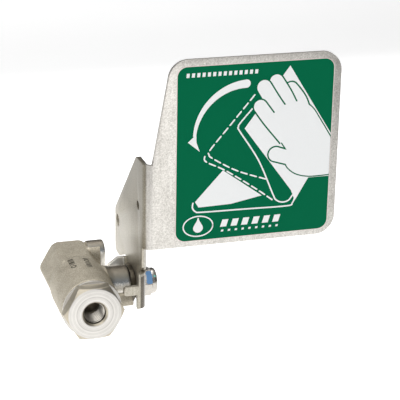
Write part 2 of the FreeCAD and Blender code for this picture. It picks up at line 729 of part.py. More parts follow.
def make_disc_springs():
    """Two conical washers, back to back, between the gland ring and the gland nut."""
    inner = STEM_BORE + 0.1
    for name, start, way in (
        ("disc_spring_lower", SPRINGS_FROM, 1),
        ("disc_spring_upper", SPRINGS_FROM + SPRING_PAIR, -1),
    ):
        body = new_body(name)
        stem_profile(body, "cone", [
            (start, (PACKING_BORE_RAD - d.spring_clear)),
            (start + d.spring_thick * way, (PACKING_BORE_RAD - d.spring_clear)),
            (start + (d.spring_thick + d.spring_rise) * way, inner),
            (start + d.spring_rise * way, inner),
        ])


def make_gland_nut():
    body = new_body("gland_nut")
    sketch = new_sketch(body, "hexagon", "YZ_Plane", GLAND_NUT_FROM)
    hexagon(sketch, d.gland_nut_af, d.gland_nut_turn.number)
    circle(sketch, 0, 0, STEM_BORE)
    pad(body, sketch, d.gland_nut_thick)
    face = d.gland_nut_af / 2 - 0.1
    depth = 0.8
    stem_profile(body, "chamfer", [
        (HUB_FROM + 0.1, face),
        (HUB_FROM, face),
        (HUB_FROM - depth, GLAND_CORNER + 0.1),
        (HUB_FROM + 0.1, GLAND_CORNER + 0.1),
    ], "Groove")


def make_lock_washer():
    """Spring washer under the handle nut, split at one side."""
    body = ring_on_stem(
        "handle_washer", STEM_BORE, (STEM_BORE + d.lock_washer_width), HUB_OUTER, d.lock_washer_thick
    )
    split = new_sketch(body, "split", "YZ_Plane", NUT_FROM)
    gap = 0.8
    polygon(split, [
        (0, -gap / 2), ((STEM_BORE + d.lock_washer_width) + 1.0, -gap / 2),
        ((STEM_BORE + d.lock_washer_width) + 1.0, gap / 2), (0, gap / 2),
    ])
    pocket(body, split, d.lock_washer_thick)


def make_handle_nut():
    """Locking nut: a hexagon and a crimped collar that holds a nylon ring."""
    body = new_body("handle_nut")
    sketch = new_sketch(body, "hexagon", "YZ_Plane", NUT_FROM)
    hexagon(sketch, NUT_AF, d.nut_turn.number)
    pad(body, sketch, d.nut_hex_len)
    corner = NUT_AF / 2 * HEX_CORNER
    face = NUT_AF / 2 - 0.1
    for name, flat_at, slope_at in (
        ("chamfer_in", NUT_FROM, NUT_FROM + 0.6), ("chamfer_out", NUT_HEX_END, NUT_HEX_END - 0.9),
    ):
        way = 0.1 if name == "chamfer_out" else -0.1
        stem_profile(body, name, [
            (flat_at + way, face), (flat_at, face), (slope_at, corner + 0.1),
            (flat_at + way, corner + 0.1),
        ], "Groove")
    collar_edge = 1.3
    stem_profile(body, "collar", [
        (NUT_HEX_END - 1.0, 0),
        (NUT_HEX_END - 1.0, NUT_COLLAR_RAD),
        (NUT_END - collar_edge, NUT_COLLAR_RAD),
        (NUT_END - collar_edge * 0.35, NUT_COLLAR_RAD - collar_edge * 0.35),
        (NUT_END, NUT_COLLAR_RAD - collar_edge),
        (NUT_END, 0),
    ])
    lip = 0.4
    pocket_end = NUT_END - lip
    pocket_rad = INSERT_RAD + d.insert_clear
    stem_profile(body, "bore", [
        (NUT_FROM - 0.1, 0),
        (NUT_FROM - 0.1, STEM_BORE),
        (pocket_end - d.insert_thick - d.insert_clear * 2, STEM_BORE),
        (pocket_end - d.insert_thick - d.insert_clear * 2, pocket_rad),
        (pocket_end, pocket_rad),
        (pocket_end, STEM_BORE + 0.5),
        (NUT_END + 0.1, STEM_BORE + 0.5),
        (NUT_END + 0.1, 0),
    ], "Groove")
    ring_on_stem(
        "nut_insert", STEM_BORE, INSERT_RAD,
        pocket_end - d.insert_thick - d.insert_clear, d.insert_thick,
    )


# ---------------------------------------------------------------- bent-steel flag and its sign


def quarter_bend(body, name, line_back, axis_across, low, high, angle_reverse):
    """A quarter turn of the arm's section about an upright line."""
    sketch = new_sketch(body, name, "XZ_Plane", -line_back)
    polygon(sketch, [
        (HUB_FROM, low), (HUB_OUTER, low), (HUB_OUTER, high), (HUB_FROM, high),
    ])
    low, high, across = Size.of(low), Size.of(high), Size.of(axis_across)
    line = sketch.addGeometry(Part.LineSegment(
        Vector(across.number, low.number), Vector(across.number, high.number)
    ), True)
    pin(sketch, line, 1, across, low)
    pin(sketch, line, 2, across, high)
    return turned(body, sketch, "Axis0", "Revolution", 90.0, angle_reverse)


def make_push_flag():
    """Arm, flag and two stop tabs cut from one sheet and bent along three upright lines."""
    body = new_body("push_flag")
    rise_end = d.open_tab_top + d.tab_relief
    arm = new_sketch(body, "arm", "YZ_Plane", HUB_FROM)
    polygon(arm, [
        (LIP_FRONT, -HUB_LOW),
        (OPEN_TAB_ROOT, -HUB_LOW),
        (OPEN_TAB_ROOT, rise_end),
        (OPEN_TAB_FACE + d.sheet + 1.0, rise_end),
        (d.arm_foot, d.arm_rear_low),
        (d.arm_rear, d.arm_rear_low),
        (d.arm_rear, d.arm_rear_top),
        (ARM_PEAK, ARM_TOP),
        (ARM_FRONT, ARM_TOP),
        (ARM_FRONT, d.lip_top + d.lip_relief),
        (LIP_FRONT, d.lip_top),
    ])
    circle(arm, (ARM_FRONT + d.hole_small_in), d.hole_small_up, d.hole_small_rad)
    circle(arm, (d.arm_rear - d.hole_large_in), d.hole_large_up, d.hole_large_rad)
    pad(body, arm, d.sheet)
    for back, up, radius in (
        (d.arm_rear, d.arm_rear_low, d.arm_corner),
        (d.arm_rear, d.arm_rear_top, d.arm_corner),
        (ARM_PEAK, ARM_TOP, d.arm_corner),
        (d.arm_foot, d.arm_rear_low, d.arm_corner),
        (OPEN_TAB_ROOT, -HUB_LOW, d.hub_corner),
    ):
        round_edges(body, radius, edge_through(0, back, up))

    # the stem's hole is round with two flats
    hole = new_sketch(body, "stem_hole", "YZ_Plane", HUB_OUTER)
    circle(hole, 0, 0, STEM_BORE)
    pocket(body, hole, d.sheet)
    keeper = FLAT_HALF + d.flat_clear
    tall = d.stem_rad * 2
    for side in (-1, 1):
        land = new_sketch(body, f"land_{'rear' if side > 0 else 'front'}", "YZ_Plane", HUB_FROM)
        polygon(land, [
            (keeper * side, -tall / 2),
            ((d.stem_rad + 1.0) * side, -tall / 2),
            ((d.stem_rad + 1.0) * side, tall / 2),
            (keeper * side, tall / 2),
        ])
        pad(body, land, d.sheet)

    quarter_bend(body, "flag_bend", ARM_FRONT, FLAG_LEFT, d.flag_low, ARM_TOP, False)
    flag = new_sketch(body, "flag", "XZ_Plane", d.flag_face)
    polygon(flag, [
        (FLAG_LEFT, d.flag_low),
        (FLAG_RIGHT, d.flag_low),
        (FLAG_RIGHT, FLAG_TOP),
        (FLAG_LEFT + d.flag_slant, FLAG_TOP),
        (FLAG_LEFT, ARM_TOP),
    ])
    pad(body, flag, d.sheet, reverse=True)
    for across, up in (
        (FLAG_RIGHT, d.flag_low), (FLAG_RIGHT, FLAG_TOP), (FLAG_LEFT + d.flag_slant, FLAG_TOP),
    ):
        round_edges(body, d.flag_corner, edge_through(1, across, up))

    quarter_bend(body, "lip", LIP_FRONT, TAB_AXIS, -HUB_LOW, d.lip_top, True)
    shut_tab = new_sketch(body, "shut_tab", "XZ_Plane", d.shut_tab_face)
    polygon(shut_tab, [
        (SHUT_TAB_END, d.shut_tab_low),
        (TAB_AXIS - d.lip_flat, d.shut_tab_low),
        (TAB_AXIS - d.lip_flat, -HUB_LOW),
        (TAB_AXIS, -HUB_LOW),
        (TAB_AXIS, SHUT_TAB_TOP),
        (SHUT_TAB_END, SHUT_TAB_TOP),
    ])
    pad(body, shut_tab, d.sheet, reverse=True)
    shut_tab_round = 1.6
    for up in (d.shut_tab_low, SHUT_TAB_TOP):
        round_edges(body, shut_tab_round, edge_through(1, SHUT_TAB_END, up))

    quarter_bend(body, "open_bend", OPEN_TAB_ROOT, TAB_AXIS, d.open_tab_low, d.open_tab_top, False)
    open_tab = new_sketch(body, "open_tab", "XZ_Plane", -OPEN_TAB_FACE)
    polygon(open_tab, [
        (OPEN_TAB_END, d.open_tab_low), (TAB_AXIS, d.open_tab_low),
        (TAB_AXIS, d.open_tab_top), (OPEN_TAB_END + d.open_tab_cut * 1.35, d.open_tab_top),
        (OPEN_TAB_END, d.open_tab_top - d.open_tab_cut),
    ])
    pad(body, open_tab, d.sheet, reverse=True)
    return body


def make_sign():
    """Thin printed sign on the front of the flag."""
    body = new_body("sign_label")
    left, right = FLAG_LEFT + d.sign_left, FLAG_RIGHT - d.sign_right
    low, top = d.flag_low + d.sign_foot, FLAG_TOP - d.sign_head
    sketch = new_sketch(body, "outline", "XZ_Plane", d.flag_face)
    polygon(sketch, [(left, low), (right, low), (right, top), (left, top)])
    pad(body, sketch, d.sign_thick)
    for across in (left, right):
        for up in (low, top):
            round_edges(body, d.sign_corner, edge_through(1, across, up))


make_body_casting()
make_end_plug()
make_body_gasket()
make_ball()
make_seat("seat_inlet", SEAT_BACK, SEAT_FRONT)
make_seat("seat_outlet", -SEAT_BACK, -SEAT_FRONT)
make_stem()
ring_on_stem(
    "stem_thrust_washer", STEM_BORE, COLLAR_BORE_RAD - d.packing_clear, COLLAR_END, d.washer_thick
)
make_o_ring()
make_packing()
ring_on_stem(
    "gland_ring", STEM_BORE, PACKING_RAD, GLAND_RING_FROM, d.gland_ring_thick
)
make_disc_springs()
make_gland_nut()
make_push_flag()
make_sign()
make_lock_washer()
make_handle_nut()
doc.recompute()


# ---------------------------------------------------------------- checks and export

def check(name, item):
    """A sub-part is one valid closed solid, or the build stops."""
    shape = item.Shape
    if shape.isNull() or not shape.isValid() or len(shape.Solids) != 1:
        raise RuntimeError(f"{name}: {len(shape.Solids)} solids, valid {shape.isValid()}")


for item in doc.Objects:
    if "Invalid" in item.State or "Error" in item.State:
        raise RuntimeError(f"{item.Name} failed: {item.State}")
os.makedirs("parts", exist_ok=True)
for name, item in NODES:
    check(name, item)
for name, item in NODES:
    item.Shape.exportStep(f"parts/{name}.step")
    box = item.Shape.BoundBox
    print(f"{name:20s} {item.Shape.Volume:9.1f} mm3  x {box.XMin:7.2f} {box.XMax:7.2f}"
          f"  y {box.YMin:7.2f} {box.YMax:7.2f}  z {box.ZMin:7.2f} {box.ZMax:7.2f}")
print(len(NODES), "sub-parts")
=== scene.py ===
# %% [markdown]
# # A push-flag ball valve, dressed for its portrait
# The valve that starts an eyewash is a small stainless ball valve with a large steel flag on its
# stem.  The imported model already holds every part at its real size.  This script leaves that model
# where it is and adds what makes metal look like metal: rounded casting edges, threads, tool marks,
# print on the sign, light and a camera.

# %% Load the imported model
import math

import bmesh
import bpy
import numpy as np
from mathutils import Matrix, Vector


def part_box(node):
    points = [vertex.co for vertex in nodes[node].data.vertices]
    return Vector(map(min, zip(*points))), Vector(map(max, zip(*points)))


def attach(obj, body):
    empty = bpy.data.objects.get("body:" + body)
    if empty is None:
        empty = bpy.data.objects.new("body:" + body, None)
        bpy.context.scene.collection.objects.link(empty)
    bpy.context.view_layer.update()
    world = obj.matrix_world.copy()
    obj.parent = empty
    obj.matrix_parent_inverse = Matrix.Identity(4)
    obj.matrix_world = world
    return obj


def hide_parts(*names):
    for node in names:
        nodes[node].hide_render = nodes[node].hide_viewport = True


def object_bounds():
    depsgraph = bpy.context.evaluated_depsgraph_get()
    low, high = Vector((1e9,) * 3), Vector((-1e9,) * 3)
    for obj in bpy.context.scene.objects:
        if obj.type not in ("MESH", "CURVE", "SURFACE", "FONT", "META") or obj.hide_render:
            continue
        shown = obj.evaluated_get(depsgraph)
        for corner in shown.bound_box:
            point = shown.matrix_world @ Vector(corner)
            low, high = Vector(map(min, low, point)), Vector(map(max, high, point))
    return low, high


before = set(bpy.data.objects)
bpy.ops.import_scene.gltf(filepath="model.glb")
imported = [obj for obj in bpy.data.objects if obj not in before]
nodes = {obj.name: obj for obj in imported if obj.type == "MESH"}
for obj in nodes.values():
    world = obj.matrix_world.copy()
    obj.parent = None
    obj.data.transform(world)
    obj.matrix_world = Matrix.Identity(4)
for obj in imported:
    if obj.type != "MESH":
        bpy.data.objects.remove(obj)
cad_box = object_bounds()
MM = 0.001
print("CAD nodes:", len(nodes))


# %% [markdown]
# ## Where things are
# Every place comes from the boxes of the CAD nodes.  The ball sits where the stem axis crosses the
# pipe axis, so the middle of its box is the point that the rest is measured from.

# %% Measure the frame
def low(node):
    """Lowest corner of a CAD node's box, in metres."""
    return np.array(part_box(node)[0])


def high(node):
    """Highest corner of a CAD node's box, in metres."""
    return np.array(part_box(node)[1])


def middle(node):
    """Centre of a CAD node's box."""
    return (low(node) + high(node)) / 2


STEM_Y = float(middle("ball")[1])
SIGN_LOW, SIGN_HIGH = low("sign_label"), high("sign_label")
SIGN_FACE = SIGN_LOW[1]
print("stem axis at y =", round(STEM_Y / MM, 2), "mm, sign", np.round((SIGN_HIGH - SIGN_LOW) / MM, 1))


# %% [markdown]
# ## Camera
# The camera stands to the left of the valve and a little above it, far away with a long lens, so
# that the flag keeps its square shape.  Three angles turn it: how far it is walked round the
# object, how far it looks down, and a slight roll.

# %% Place the camera
def make_camera(standoff, walk_round, look_down, roll, lens):
    """A camera at an offset from the sign's lower left corner; angles in degrees."""
    data = bpy.data.cameras.new("product_camera")
    data.lens, data.sensor_width = lens, 36.0
    data.clip_start, data.clip_end = 0.05, 20.0
    camera = bpy.data.objects.new("product_camera", data)
    bpy.context.scene.collection.objects.link(camera)
    turn = (Matrix.Rotation(math.radians(-walk_round), 4, "Z")
            @ Matrix.Rotation(math.radians(90 - look_down), 4, "X")
            @ Matrix.Rotation(math.radians(roll), 4, "Z"))
    corner = Vector((SIGN_LOW[0], SIGN_HIGH[1], SIGN_LOW[2]))
    camera.matrix_world = Matrix.Translation(corner + Vector(standoff)) @ turn
    bpy.context.scene.camera = camera
    return camera


camera = make_camera(
    standoff=(-0.19687, -0.67343, 0.28663), walk_round=17.333, look_down=20.516, roll=1.062, lens=130.37
)
print("camera at", [round(v, 3) for v in camera.matrix_world.translation])


# %% [markdown]
# ## Floor and light
# Bright metal is lit by large white panels, because steel only shows what stands round it.  The
# valve hangs over a light table, a pale floor that also glows, so its undersides are bright.  Three
# soft panels light it from the front, the left and above.  Two dark cards stand behind and to the
# right.  They are seen in reflections only: the round parts get a dark line from them, and they
# block no view.

# %% Build the studio
def make_floor(depth, half):
    """A square floor, depth metres under the lowest point of the model."""
    z = cad_box[0][2] - depth
    mesh = bpy.data.meshes.new("floor")
    mesh.from_pydata(
        [(-half, -half, z), (half, -half, z), (half, half, z), (-half, half, z)], [], [(0, 1, 2, 3)]
    )
    floor = bpy.data.objects.new("floor", mesh)
    bpy.context.scene.collection.objects.link(floor)
    return floor


def make_panel(name, place, target, size, power):
    """A square area light of a given size in metres and power in watts, facing the target."""
    data = bpy.data.lights.new(name, "AREA")
    data.shape, data.size, data.energy = "SQUARE", size, power
    light = bpy.data.objects.new(name, data)
    bpy.context.scene.collection.objects.link(light)
    light.location = place
    light.rotation_euler = (Vector(target) - Vector(place)).to_track_quat("-Z", "Y").to_euler()
    return light


def make_card(name, start, end, bottom, top):
    """An upright card from start to end, each an (x, y) in metres, seen in reflections only."""
    corners = [(*start, bottom), (*end, bottom), (*end, top), (*start, top)]
    mesh = bpy.data.meshes.new(name)
    mesh.from_pydata(corners, [], [(0, 1, 2, 3)])
    card = bpy.data.objects.new(name, mesh)
    bpy.context.scene.collection.objects.link(card)
    card.visible_camera = False
    return card


floor = make_floor(depth=0.10, half=6.0)
rear_card = make_card("rear_card", start=(-0.9, 0.7), end=(1.4, 0.7), bottom=0.06, top=0.50)
right_card = make_card("right_card", start=(1.0, -1.2), end=(1.0, 0.2), bottom=0.0, top=0.9)
aim = tuple((np.array(cad_box[0]) + np.array(cad_box[1])) / 2)
make_panel("key_panel", place=(-0.35, -1.10, 0.95), target=aim, size=1.30, power=9.0)
make_panel("side_panel", place=(-1.20, 0.10, 1.00), target=aim, size=1.10, power=17.0)
make_panel("top_panel", place=(0.10, 0.30, 1.50), target=aim, size=1.30, power=20.0)

# %% Light the room
ROOM_LIGHT = 0.36
world = bpy.data.worlds.new("studio")
world.use_nodes = True
background = world.node_tree.nodes["Background"]
background.inputs["Color"].default_value = (1.0, 1.0, 1.0, 1.0)
background.inputs["Strength"].default_value = ROOM_LIGHT
bpy.context.scene.world = world
bpy.context.scene.view_settings.view_transform = "Standard"
print("panels:", len(bpy.data.lights), "- room light:", ROOM_LIGHT)


# %% [markdown]
# ## Writing materials as sums
# A material is a graph of nodes, and long graphs are hard to read.  The class below wraps one
# output of a node, so that `mask * 0.3 + 0.1` makes the Math nodes by itself.

# %% A small language for materials
class Value:
    """One number output of a shader node; + - * / add Math nodes."""

    def __init__(self, finish, socket):
        self.finish, self.socket = finish, socket

    def _math(self, operation, first, second=None):
        inputs = {0: first} if second is None else {0: first, 1: second}
        return self.finish.node("ShaderNodeMath", {"operation": operation}, inputs)

    def __add__(self, other):
        return self._math("ADD", self, other)

    def __radd__(self, other):
        return self._math("ADD", other, self)

    def __sub__(self, other):
        return self._math("SUBTRACT", self, other)

    def __rsub__(self, other):
        return self._math("SUBTRACT", other, self)

    def __mul__(self, other):
        return self._math("MULTIPLY", self, other)

    def __rmul__(self, other):
        return self._math("MULTIPLY", other, self)

    def __truediv__(self, other):
        return self._math("DIVIDE", self, other)

    def above(self, level):
        return self._math("GREATER_THAN", self, level)

    def below(self, level):
        return self._math("LESS_THAN", self, level)

    def absolute(self):
        return self._math("ABSOLUTE", self)

    def root(self):
        return self._math("SQRT", self)

    def wave(self):
        """Sine of the value in radians."""
        return self._math("SINE", self)

    def larger(self, other):
        return self._math("MAXIMUM", self, other)

    def clamp(self):
        return self.finish.node("ShaderNodeClamp", {}, {"Value": self})

    def between(self, start, end, softness):
        """1 between start and end, fading to 0 over softness outside them."""
        rise = ((self - (start - softness)) / softness).clamp()
        fall = (((end + softness) - self) / softness).clamp()
        return rise * fall


class Finish:
    """A material whose Principled shader is fed through node() and value sums."""

    def __init__(self, name, metallic=0.0, **sockets):
        self.material = bpy.data.materials.new(name)
        self.material.use_nodes = True
        self.tree = self.material.node_tree
        self.shader = self.tree.nodes["Principled BSDF"]
        self.set("Metallic", metallic)
        for socket, value in sockets.items():
            self.set(socket.replace("_", " "), value)
        self.place = self.node("ShaderNodeTexCoord", {}, {}, "Object")

    def feed(self, socket, value):
        """Links a value to any socket, or sets the socket to a constant."""
        if isinstance(value, Value):
            self.tree.links.new(value.socket, socket)
        else:
            socket.default_value = value

    def set(self, socket, value):
        """Feeds one socket of the Principled shader."""
        self.feed(self.shader.inputs[socket], value)

    def node(self, kind, settings, inputs, output=0):
        """Adds a node: its settings first, then its sockets, and returns one output."""
        item = self.tree.nodes.new(kind)
        for key, value in settings.items():
            if key == "stops":
                ramp = item.color_ramp
                while len(ramp.elements) < len(value):
                    ramp.elements.new(0.5)
                for element, (at, shade) in zip(ramp.elements, value):
                    element.position, element.color = at, (*shade, 1.0)
            else:
                setattr(item, key, value)
        for key, value in inputs.items():
            self.feed(item.inputs[key], value)
        return Value(self, item.outputs[output])

    def axes(self, point=None):
        """x, y and z of a point in metres, as three values."""
        split = self.tree.nodes.new("ShaderNodeSeparateXYZ")
        self.feed(split.inputs[0], point or self.place)
        return [Value(self, split.outputs[i]) for i in range(3)]

    def noise(self, scale, detail=3.0, rough=0.55, point=None, stretch=None):
        """Cloudy noise between 0 and 1; stretch squeezes it along x, y and z."""
        point = point or self.place
        if stretch:
            point = self.node("ShaderNodeMapping", {}, {"Vector": point, "Scale": stretch})
        return self.node("ShaderNodeTexNoise", {}, {
            "Vector": point, "Scale": scale, "Detail": detail, "Roughness": rough})

    def line_noise(self, value, scale, detail=2.0):
        """Noise that changes along one value only, such as a radius."""
        point = self.node("ShaderNodeCombineXYZ", {}, {"X": value})
        return self.noise(scale, detail, point=point)

    def radius(self, first, second):
        """Distance from an axis, from the two coordinates across it."""
        return (first * first + second * second).root()

    def angle(self, first, second):
        """Angle in radians, 0 along second and growing towards first."""
        return self.node("ShaderNodeMath", {"operation": "ARCTAN2"}, {0: first, 1: second})

    def blend(self, factor, first, second):
        """A colour from first to second as factor goes from 0 to 1."""
        return self.node("ShaderNodeMix", {"data_type": "RGBA"}, {
            "Factor": factor,
            6: first if isinstance(first, Value) else (*first, 1.0),
            7: second if isinstance(second, Value) else (*second, 1.0),
        }, 2)

    def bump(self, height):
        """Feeds the shader's Normal with a height in metres."""
        self.set("Normal", self.node("ShaderNodeBump", {}, {
            "Height": height, "Distance": 1.0, "Strength": 1.0}))


def wear(obj, finish):
    """Gives an object one finish in place of the slots that it has."""
    obj.data.materials.clear()
    obj.data.materials.append(finish.material)


# %% [markdown]
# ## Making pieces
# Three ways of making geometry are enough here.  A grid of points computed by numpy becomes a
# surface; an outline becomes a flat shape, for the print on the sign; and a CAD solid can be copied
# and softened, because real edges are never razor sharp.

# %% Helpers for pieces
def add_piece(name, mesh, body, finish, smooth=True):
    """Puts a mesh into the scene as a piece that rides on a body."""
    piece = bpy.data.objects.new(name, mesh)
    bpy.context.scene.collection.objects.link(piece)
    if smooth:
        mesh.shade_smooth()
    wear(piece, finish)
    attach(piece, body)
    return piece


def grid_mesh(name, points):
    """A mesh from a (rows, columns, 3) array; neighbours in the array share a face."""
    rows, columns = points.shape[:2]
    index = np.arange(rows * columns).reshape(rows, columns)
    faces = np.stack([index[:-1, :-1], index[1:, :-1], index[1:, 1:], index[:-1, 1:]], -1)
    mesh = bpy.data.meshes.new(name)
    mesh.from_pydata(points.reshape(-1, 3).tolist(), [], faces.reshape(-1, 4).tolist())
    return mesh


# %% Copy and soften a CAD part
MERGE_WITHIN = 1e-6  # metres
FLAT_WITHIN = math.radians(0.5)
ROUNDED_FROM = math.radians(32)  # an edge that turns by more than this is rounded


def merged_copy(node):
    """A CAD node's mesh with its doubled points merged and its flat areas joined up."""
    mesh = nodes[node].data.copy()
    mesh.transform(nodes[node].matrix_world)
    work = bmesh.new()
    work.from_mesh(mesh)
    bmesh.ops.remove_doubles(work, verts=work.verts, dist=MERGE_WITHIN)
    bmesh.ops.dissolve_limit(work, angle_limit=FLAT_WITHIN, verts=work.verts, edges=work.edges)
    work.to_mesh(mesh)
    work.free()
    return mesh


def soften(node, body, finish, width):
    """Replaces a CAD node by a copy whose sharp edges are rounded by a bevel of a given width."""
    piece = add_piece(f"soft_{node}", merged_copy(node), body, finish)
    bevel = piece.modifiers.new("rounded_edges", "BEVEL")
    bevel.width, bevel.segments, bevel.limit_method = width, 3, "ANGLE"
    bevel.angle_limit = ROUNDED_FROM
    bevel.use_clamp_overlap, bevel.harden_normals = True, True
    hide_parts(node)
    print(f"{piece.name}: {len(piece.data.polygons)} faces before the bevel")
    return piece


# %% [markdown]
# ## Finishes
# Every metal part of this valve left a different machine.  The body was cast in a ceramic mould and
# blasted with beads, which leaves a fine matt grain and no direction.  The plug and the nuts were
# turned, so their faces carry concentric rings.  The flag was cut from sheet and tumbled, which
# clouds it.  Each finish is a colour, a roughness and a height that vary together.

# %% The casting's raised marks
BARREL_RADIUS = 15.45  # mm
MARK_EDGE, RING_STROKE = 0.15, 0.5  # softness of an edge and width of a ring's line, mm
# two rows, each between two places round the barrel; its bars have a start and a length along it
FAR_ROW, FAR_BARS = (-6.1, -3.3), ((-2.6, 0.6), (-1.2, 1.9), (1.6, 0.6), (3.0, 1.6))
STEM_ROW = (2.0, 4.9)
STEM_BARS = ((-8.6, 0.7), (-7.0, 1.7), (-4.4, 0.7), (-2.8, 0.7), (1.8, 1.9))
# each row's ring: its middle round the barrel and along it, and its radius
FAR_RING, STEM_RING = (-4.7, -5.4, 1.5), (3.4, 0.0, 1.4)


def raised_marks(finish, around, along):
    """1 on the marks and 0 elsewhere; on a ring, the distance from its middle is near its radius."""
    def bars(marks, row, starts_and_lengths):
        for start, length in starts_and_lengths:
            bar = around.between(*row, MARK_EDGE) * along.between(start, start + length, MARK_EDGE)
            marks = marks.larger(bar)
        return marks

    def ring(across, lengthwise, radius):
        away = finish.radius(around - across, along - lengthwise)
        return away.between(radius - RING_STROKE, radius, MARK_EDGE)

    marks = bars(ring(*FAR_RING), FAR_ROW, FAR_BARS)
    return bars(marks, STEM_ROW, STEM_BARS).larger(ring(*STEM_RING))


# %% Cast steel
CAST_DARK, CAST_LIGHT, MARK_COLOUR = (0.25, 0.226, 0.175), (0.57, 0.52, 0.43), (0.10, 0.09, 0.07)
MARKS_ABOVE = 0.010  # the marks are on the barrel's upper side only, a z in metres
NECK_RADIUS, NECK_FROM = 0.0106, 0.011  # the neck: this near the stem axis and past this x, metres
EAR_FROM, EAR_BEHIND = 0.0088, 17.0  # the ear: past this x, metres, and this far behind the stem, mm
EAR_TOP, EAR_SIDE = 0.0146, 0.0152  # and above this z or past this x, metres
# burnished steel from undersides, through upright walls, to tops
# painted reflection by how far a surface faces up: light undersides, blue-grey upright walls, brown tops
PAINTED_REFLECTION_BANDS = [
    (0.02, (1.0, 0.98, 0.93)), (0.26, (1.0, 0.98, 0.93)), (0.46, (0.17, 0.185, 0.20)),
    (0.70, (0.17, 0.165, 0.145)), (0.95, (0.17, 0.15, 0.12)),
]


def cast_finish():
    """Blasted casting with raised marks; its smoother neck and ear get a painted reflection by how far
    they face up.
    """
    finish = Finish("cast_stainless", 1.0)
    x, y, z = finish.axes()
    grain = finish.noise(1700.0, 4.0, 0.8)
    cloud = finish.noise(160.0, 2.0)

    # arc length round the barrel from its top towards the stem, and length along it, in mm
    around = finish.angle(x, z) * BARREL_RADIUS
    along = (y - STEM_Y) * 1000.0
    marks = raised_marks(finish, around, along) * z.above(MARKS_ABOVE)
    tone = (grain * 0.86 + cloud * 0.14 - 0.38) * 3.6
    blasted = finish.blend(marks, finish.blend(tone.clamp(), CAST_DARK, CAST_LIGHT), MARK_COLOUR)

    neck = finish.radius(y - STEM_Y, z).below(NECK_RADIUS) * x.above(NECK_FROM)
    ear = x.above(EAR_FROM) * along.above(EAR_BEHIND) * z.above(EAR_TOP).larger(x.above(EAR_SIDE))
    polished_painted_reflection = neck.larger(ear)
    # painted reflection on the neck and the ear: their colour follows how far the surface faces up
    facing_up = finish.axes(finish.node("ShaderNodeNewGeometry", {}, {}, 1))[2]
    shade = finish.node(
        "ShaderNodeValToRGB", {"stops": PAINTED_REFLECTION_BANDS}, {0: facing_up + (grain - 0.5) * 0.5})
    finish.set("Base Color", finish.blend(polished_painted_reflection, blasted, shade))
    finish.set("Roughness", grain * 0.20 + 0.48 - polished_painted_reflection * 0.14)
    finish.bump(grain * 1.8e-4 + cloud * 2.0e-5 + marks * 6.0e-4)
    return finish


cast = cast_finish()
print("cast finish:", len(cast.tree.nodes), "nodes")


# %% [markdown]
# A lathe leaves rings round the axis of turning.  Their height follows a sine of the radius with
# noise laid over it, so that no two grooves are alike.

# %% Turned steel
FLAT_BEHIND, FLAT_EDGE = 0.0003, 0.00015  # the flats start this far behind the face, metres
MOUTH_RADIUS, MOUTH_EDGE = 0.0069, 8000.0  # the port's mouth is dull too: metres, and 1 / metres
WORN = 1.35  # worn flats are this much lighter


def turned_finish(name, axis, dark, light, rough, groove=2.5e-6, flats=None, face=None,
                  collar=None):
    """Rings round the pipe axis ("pipe") or the stem axis ("stem"); flats is the duller colour of
    what lies more than a hair behind the face, a y in metres, up to the bright collar."""
    finish = Finish(name, 1.0)
    x, y, z = finish.axes()
    away = finish.radius(x if axis == "pipe" else y - STEM_Y, z)
    uneven = finish.line_noise(away, 1100.0, 4.0)
    fine = (away * 9000.0).wave()
    cloud = finish.noise(300.0, 2.0)
    colour = finish.blend(((uneven - 0.38) * 3.4 + fine * 0.16 + cloud * 0.3).clamp(), dark, light)
    if flats:
        milled = finish.noise(700.0, 3.0, stretch=(1.0, 0.15, 1.0))
        behind = (y - face).between(FLAT_BEHIND, collar - face, FLAT_EDGE)
        mouth = ((MOUTH_RADIUS - away) * MOUTH_EDGE).clamp()
        shade = finish.blend(milled, flats, tuple(WORN * tone for tone in flats))
        colour = finish.blend(behind.larger(mouth), colour, shade)
    finish.set("Base Color", colour)
    finish.set("Roughness", uneven * 0.16 + rough - 0.05)
    finish.bump(fine * groove + uneven * (groove * 5.0))
    return finish


COLLAR_WIDTH = 0.0012  # the plug's bright collar, in front of the casting's rim
plug_steel = turned_finish(
    "turned_stainless", "pipe", (0.42, 0.402, 0.375), (0.66, 0.64, 0.605), 0.36, 8.0e-6,
    flats=(0.36, 0.325, 0.26), face=float(low("end_plug")[1]),
    collar=float(low("body_casting")[1]) - COLLAR_WIDTH)
print("plug finish:", len(plug_steel.tree.nodes), "nodes")

# %% Thread steel and the other turned parts
CREST_RADIUS, CREST_EDGE = 0.0056, 2600.0  # crests stand inside this radius: metres, and 1 / metres


def thread_finish():
    """Cut thread: painted shade in the roots and a painted highlight on the crests; radius tells one from
    the other.
    """
    finish = Finish("thread_steel", 1.0)
    x, y, z = finish.axes()
    crest = ((CREST_RADIUS - finish.radius(x, z)) * CREST_EDGE).clamp()
    chatter = finish.noise(1800.0, 2.0)
    # painted shade in the thread's roots, painted highlight on its crests
    tone = (crest * 0.9 + chatter * 0.3 - 0.1).clamp()
    finish.set("Base Color", finish.blend(tone, (0.035, 0.03, 0.02), (0.72, 0.68, 0.61)))
    finish.set("Roughness", chatter * 0.15 + 0.24)
    return finish


thread_steel = thread_finish()
stem_steel = turned_finish("stem_stainless", "stem", (0.60, 0.57, 0.52), (0.76, 0.73, 0.69), 0.28)
dark_steel = turned_finish("dark_stainless", "stem", (0.07, 0.06, 0.045), (0.16, 0.14, 0.11), 0.42)
spring_metal = turned_finish("spring_steel", "stem", (0.34, 0.32, 0.29), (0.48, 0.45, 0.41), 0.38)
print("turned finishes made:", len(bpy.data.materials), "materials so far")


# %% [markdown]
# The handle nut is bright plated steel.  A blue patch sits on one of its flats and a blue-green spot on
# its crimped collar; both are less metallic than the nut.

